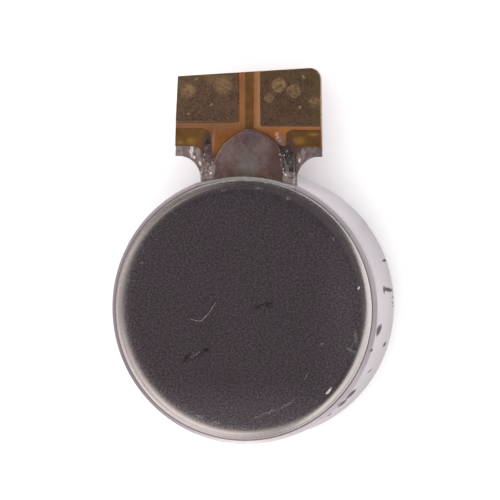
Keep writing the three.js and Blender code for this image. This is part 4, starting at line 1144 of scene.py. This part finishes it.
# --------------------------------------------- inner pieces keep their shape
LOOKS = {
    "shaft": CHROME, "lower_washer": WASHER, "upper_washer": WASHER, "ring_magnet": MAGNET, "magnet_adhesive": TAPE,
    "trace_left": COPPER, "trace_right": COPPER, "trace_centre": COPPER, "brush_left": SPRING, "brush_right": SPRING,
    "brush_solder_left": SOLDER, "brush_solder_right": SOLDER, "bearing_bush": BRONZE, "rotor_frame": RESIN,
    "commutator_board": BOARD, "coil_left": WIRE, "coil_right": WIRE, "counterweight": TUNGSTEN,
}
for i in range(1, 7):
    LOOKS[f"commutator_segment_{i}"] = GOLD
for node, mat in LOOKS.items():
    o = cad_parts[node]
    if o.hide_render:
        continue
    o.data.materials.clear()
    o.data.materials.append(mat)

# ------------------------------------------------------------- floor, lights
fm = Mat("floor_pale", (0.90, 0.90, 0.905), 0.0, 0.7, Specular_IOR_Level=0.2)
fm.set(Base_Color=fm.mix(fm.noise(0.02, 2, 0.5), (0.895, 0.893, 0.90), (0.915, 0.915, 0.918)))
bpy.ops.mesh.primitive_circle_add(vertices=96, radius=0.505, fill_type="NGON", location=(0, 0, -0.00002))
floor = bpy.context.object
floor.name = "floor"
floor.data.materials.append(fm.m)
bpy.ops.mesh.primitive_cylinder_add(vertices=96, radius=0.50, depth=0.03, end_fill_type="NOTHING", location=(0, 0, 0.015))
rim = bpy.context.object
rim.name = "backdrop"
bm_ = Mat("backdrop_pale", (0.90, 0.90, 0.905), 0.0, 0.7, Specular_IOR_Level=0.2, Emission_Color=(1.0, 0.995, 0.99, 1.0), Emission_Strength=0.62)
bm_.set(Base_Color=bm_.mix(bm_.noise(0.02, 2, 0.5), (0.895, 0.893, 0.90), (0.915, 0.915, 0.918)))
rim.data.materials.append(bm_.m)

world = bpy.data.worlds.new("studio")
scene.world = world
world.use_nodes = True
wn, wl = world.node_tree.nodes, world.node_tree.links
wn.clear()
wout = wn.new("ShaderNodeOutputWorld")
bg = wn.new("ShaderNodeBackground")
tc = wn.new("ShaderNodeTexCoord")
wl.new(bg.outputs[0], wout.inputs[0])


def lobe(az, polar, inner, outer):
    """A soft light in the sky: 1 within inner degrees of its middle, 0 beyond outer degrees."""
    d = wn.new("ShaderNodeVectorMath")
    d.operation = "DOT_PRODUCT"
    wl.new(tc.outputs["Generated"], d.inputs[0])
    d.inputs[1].default_value = (math.sin(rad(polar)) * math.cos(rad(az)), math.sin(rad(polar)) * math.sin(rad(az)), math.cos(rad(polar)))
    r = wn.new("ShaderNodeMapRange")
    r.interpolation_type = "SMOOTHSTEP"
    wl.new(d.outputs["Value"], r.inputs[0])
    r.inputs[1].default_value = math.cos(rad(outer))
    r.inputs[2].default_value = math.cos(rad(inner))
    return r.outputs[0]


def beyond(n, lo, hi):
    """1 on the side of the sky that the direction n points to."""
    d = wn.new("ShaderNodeVectorMath")
    d.operation = "DOT_PRODUCT"
    wl.new(tc.outputs["Generated"], d.inputs[0])
    d.inputs[1].default_value = n
    r = wn.new("ShaderNodeMapRange")
    r.interpolation_type = "SMOOTHSTEP"
    wl.new(d.outputs["Value"], r.inputs[0])
    r.inputs[1].default_value, r.inputs[2].default_value = lo, hi
    return r.outputs[0]


def both(a, b):
    n = wn.new("ShaderNodeMath")
    n.operation = "MULTIPLY"
    wl.new(a, n.inputs[0])
    wl.new(b, n.inputs[1])
    return n.outputs[0]


total = None
SKY = [((0.070, 0.063, 0.068), None), ((0.72, 0.67, 0.645), lobe(215, 82, 18, 68)),
       ((1.02, 0.99, 0.98), both(beyond((0.381, -0.436, -0.815), -0.32, -0.10), lobe(340, 90, 45, 72))),
       ((0.32, 0.305, 0.30), lobe(262, 70, 12, 50)), ((0.34, 0.31, 0.29), lobe(142, 72, 8, 34))]
for colour, mask in SKY:
    n = wn.new("ShaderNodeVectorMath")
    if mask is None:
        n.operation = "ADD"
        n.inputs[0].default_value = colour
        n.inputs[1].default_value = (0, 0, 0)
    else:
        n.operation = "MULTIPLY_ADD"
        wl.new(mask, n.inputs[0])
        n.inputs[1].default_value = colour
        wl.new(total, n.inputs[2])
    total = n.outputs[0]
wl.new(total, bg.inputs[0])
bg.inputs[1].default_value = 1.0


def sun(name, az, polar, strength, color=(1, 1, 1), angle=35, glossy=False):
    d = bpy.data.lights.new(name, "SUN")
    d.energy, d.angle, d.color = strength, rad(angle), color
    o = bpy.data.objects.new(name, d)
    way = Vector((math.sin(rad(polar)) * math.cos(rad(az)), math.sin(rad(polar)) * math.sin(rad(az)), math.cos(rad(polar))))
    o.rotation_mode = "QUATERNION"
    o.rotation_quaternion = way.to_track_quat("Z", "Y")
    o.visible_glossy = glossy
    scene.collection.objects.link(o)
    return o


sun("fill_front", 235, 24, 1.50, (1.0, 0.985, 0.975), 75)
sun("fill_right", 350, 26, 1.42, (1.0, 0.99, 0.99), 75)
sun("fill_back", 110, 24, 1.38, (0.99, 0.99, 1.0), 75)

scene.view_settings.view_transform = "Standard"
scene.view_settings.look = "None"
scene.view_settings.exposure = 0.0
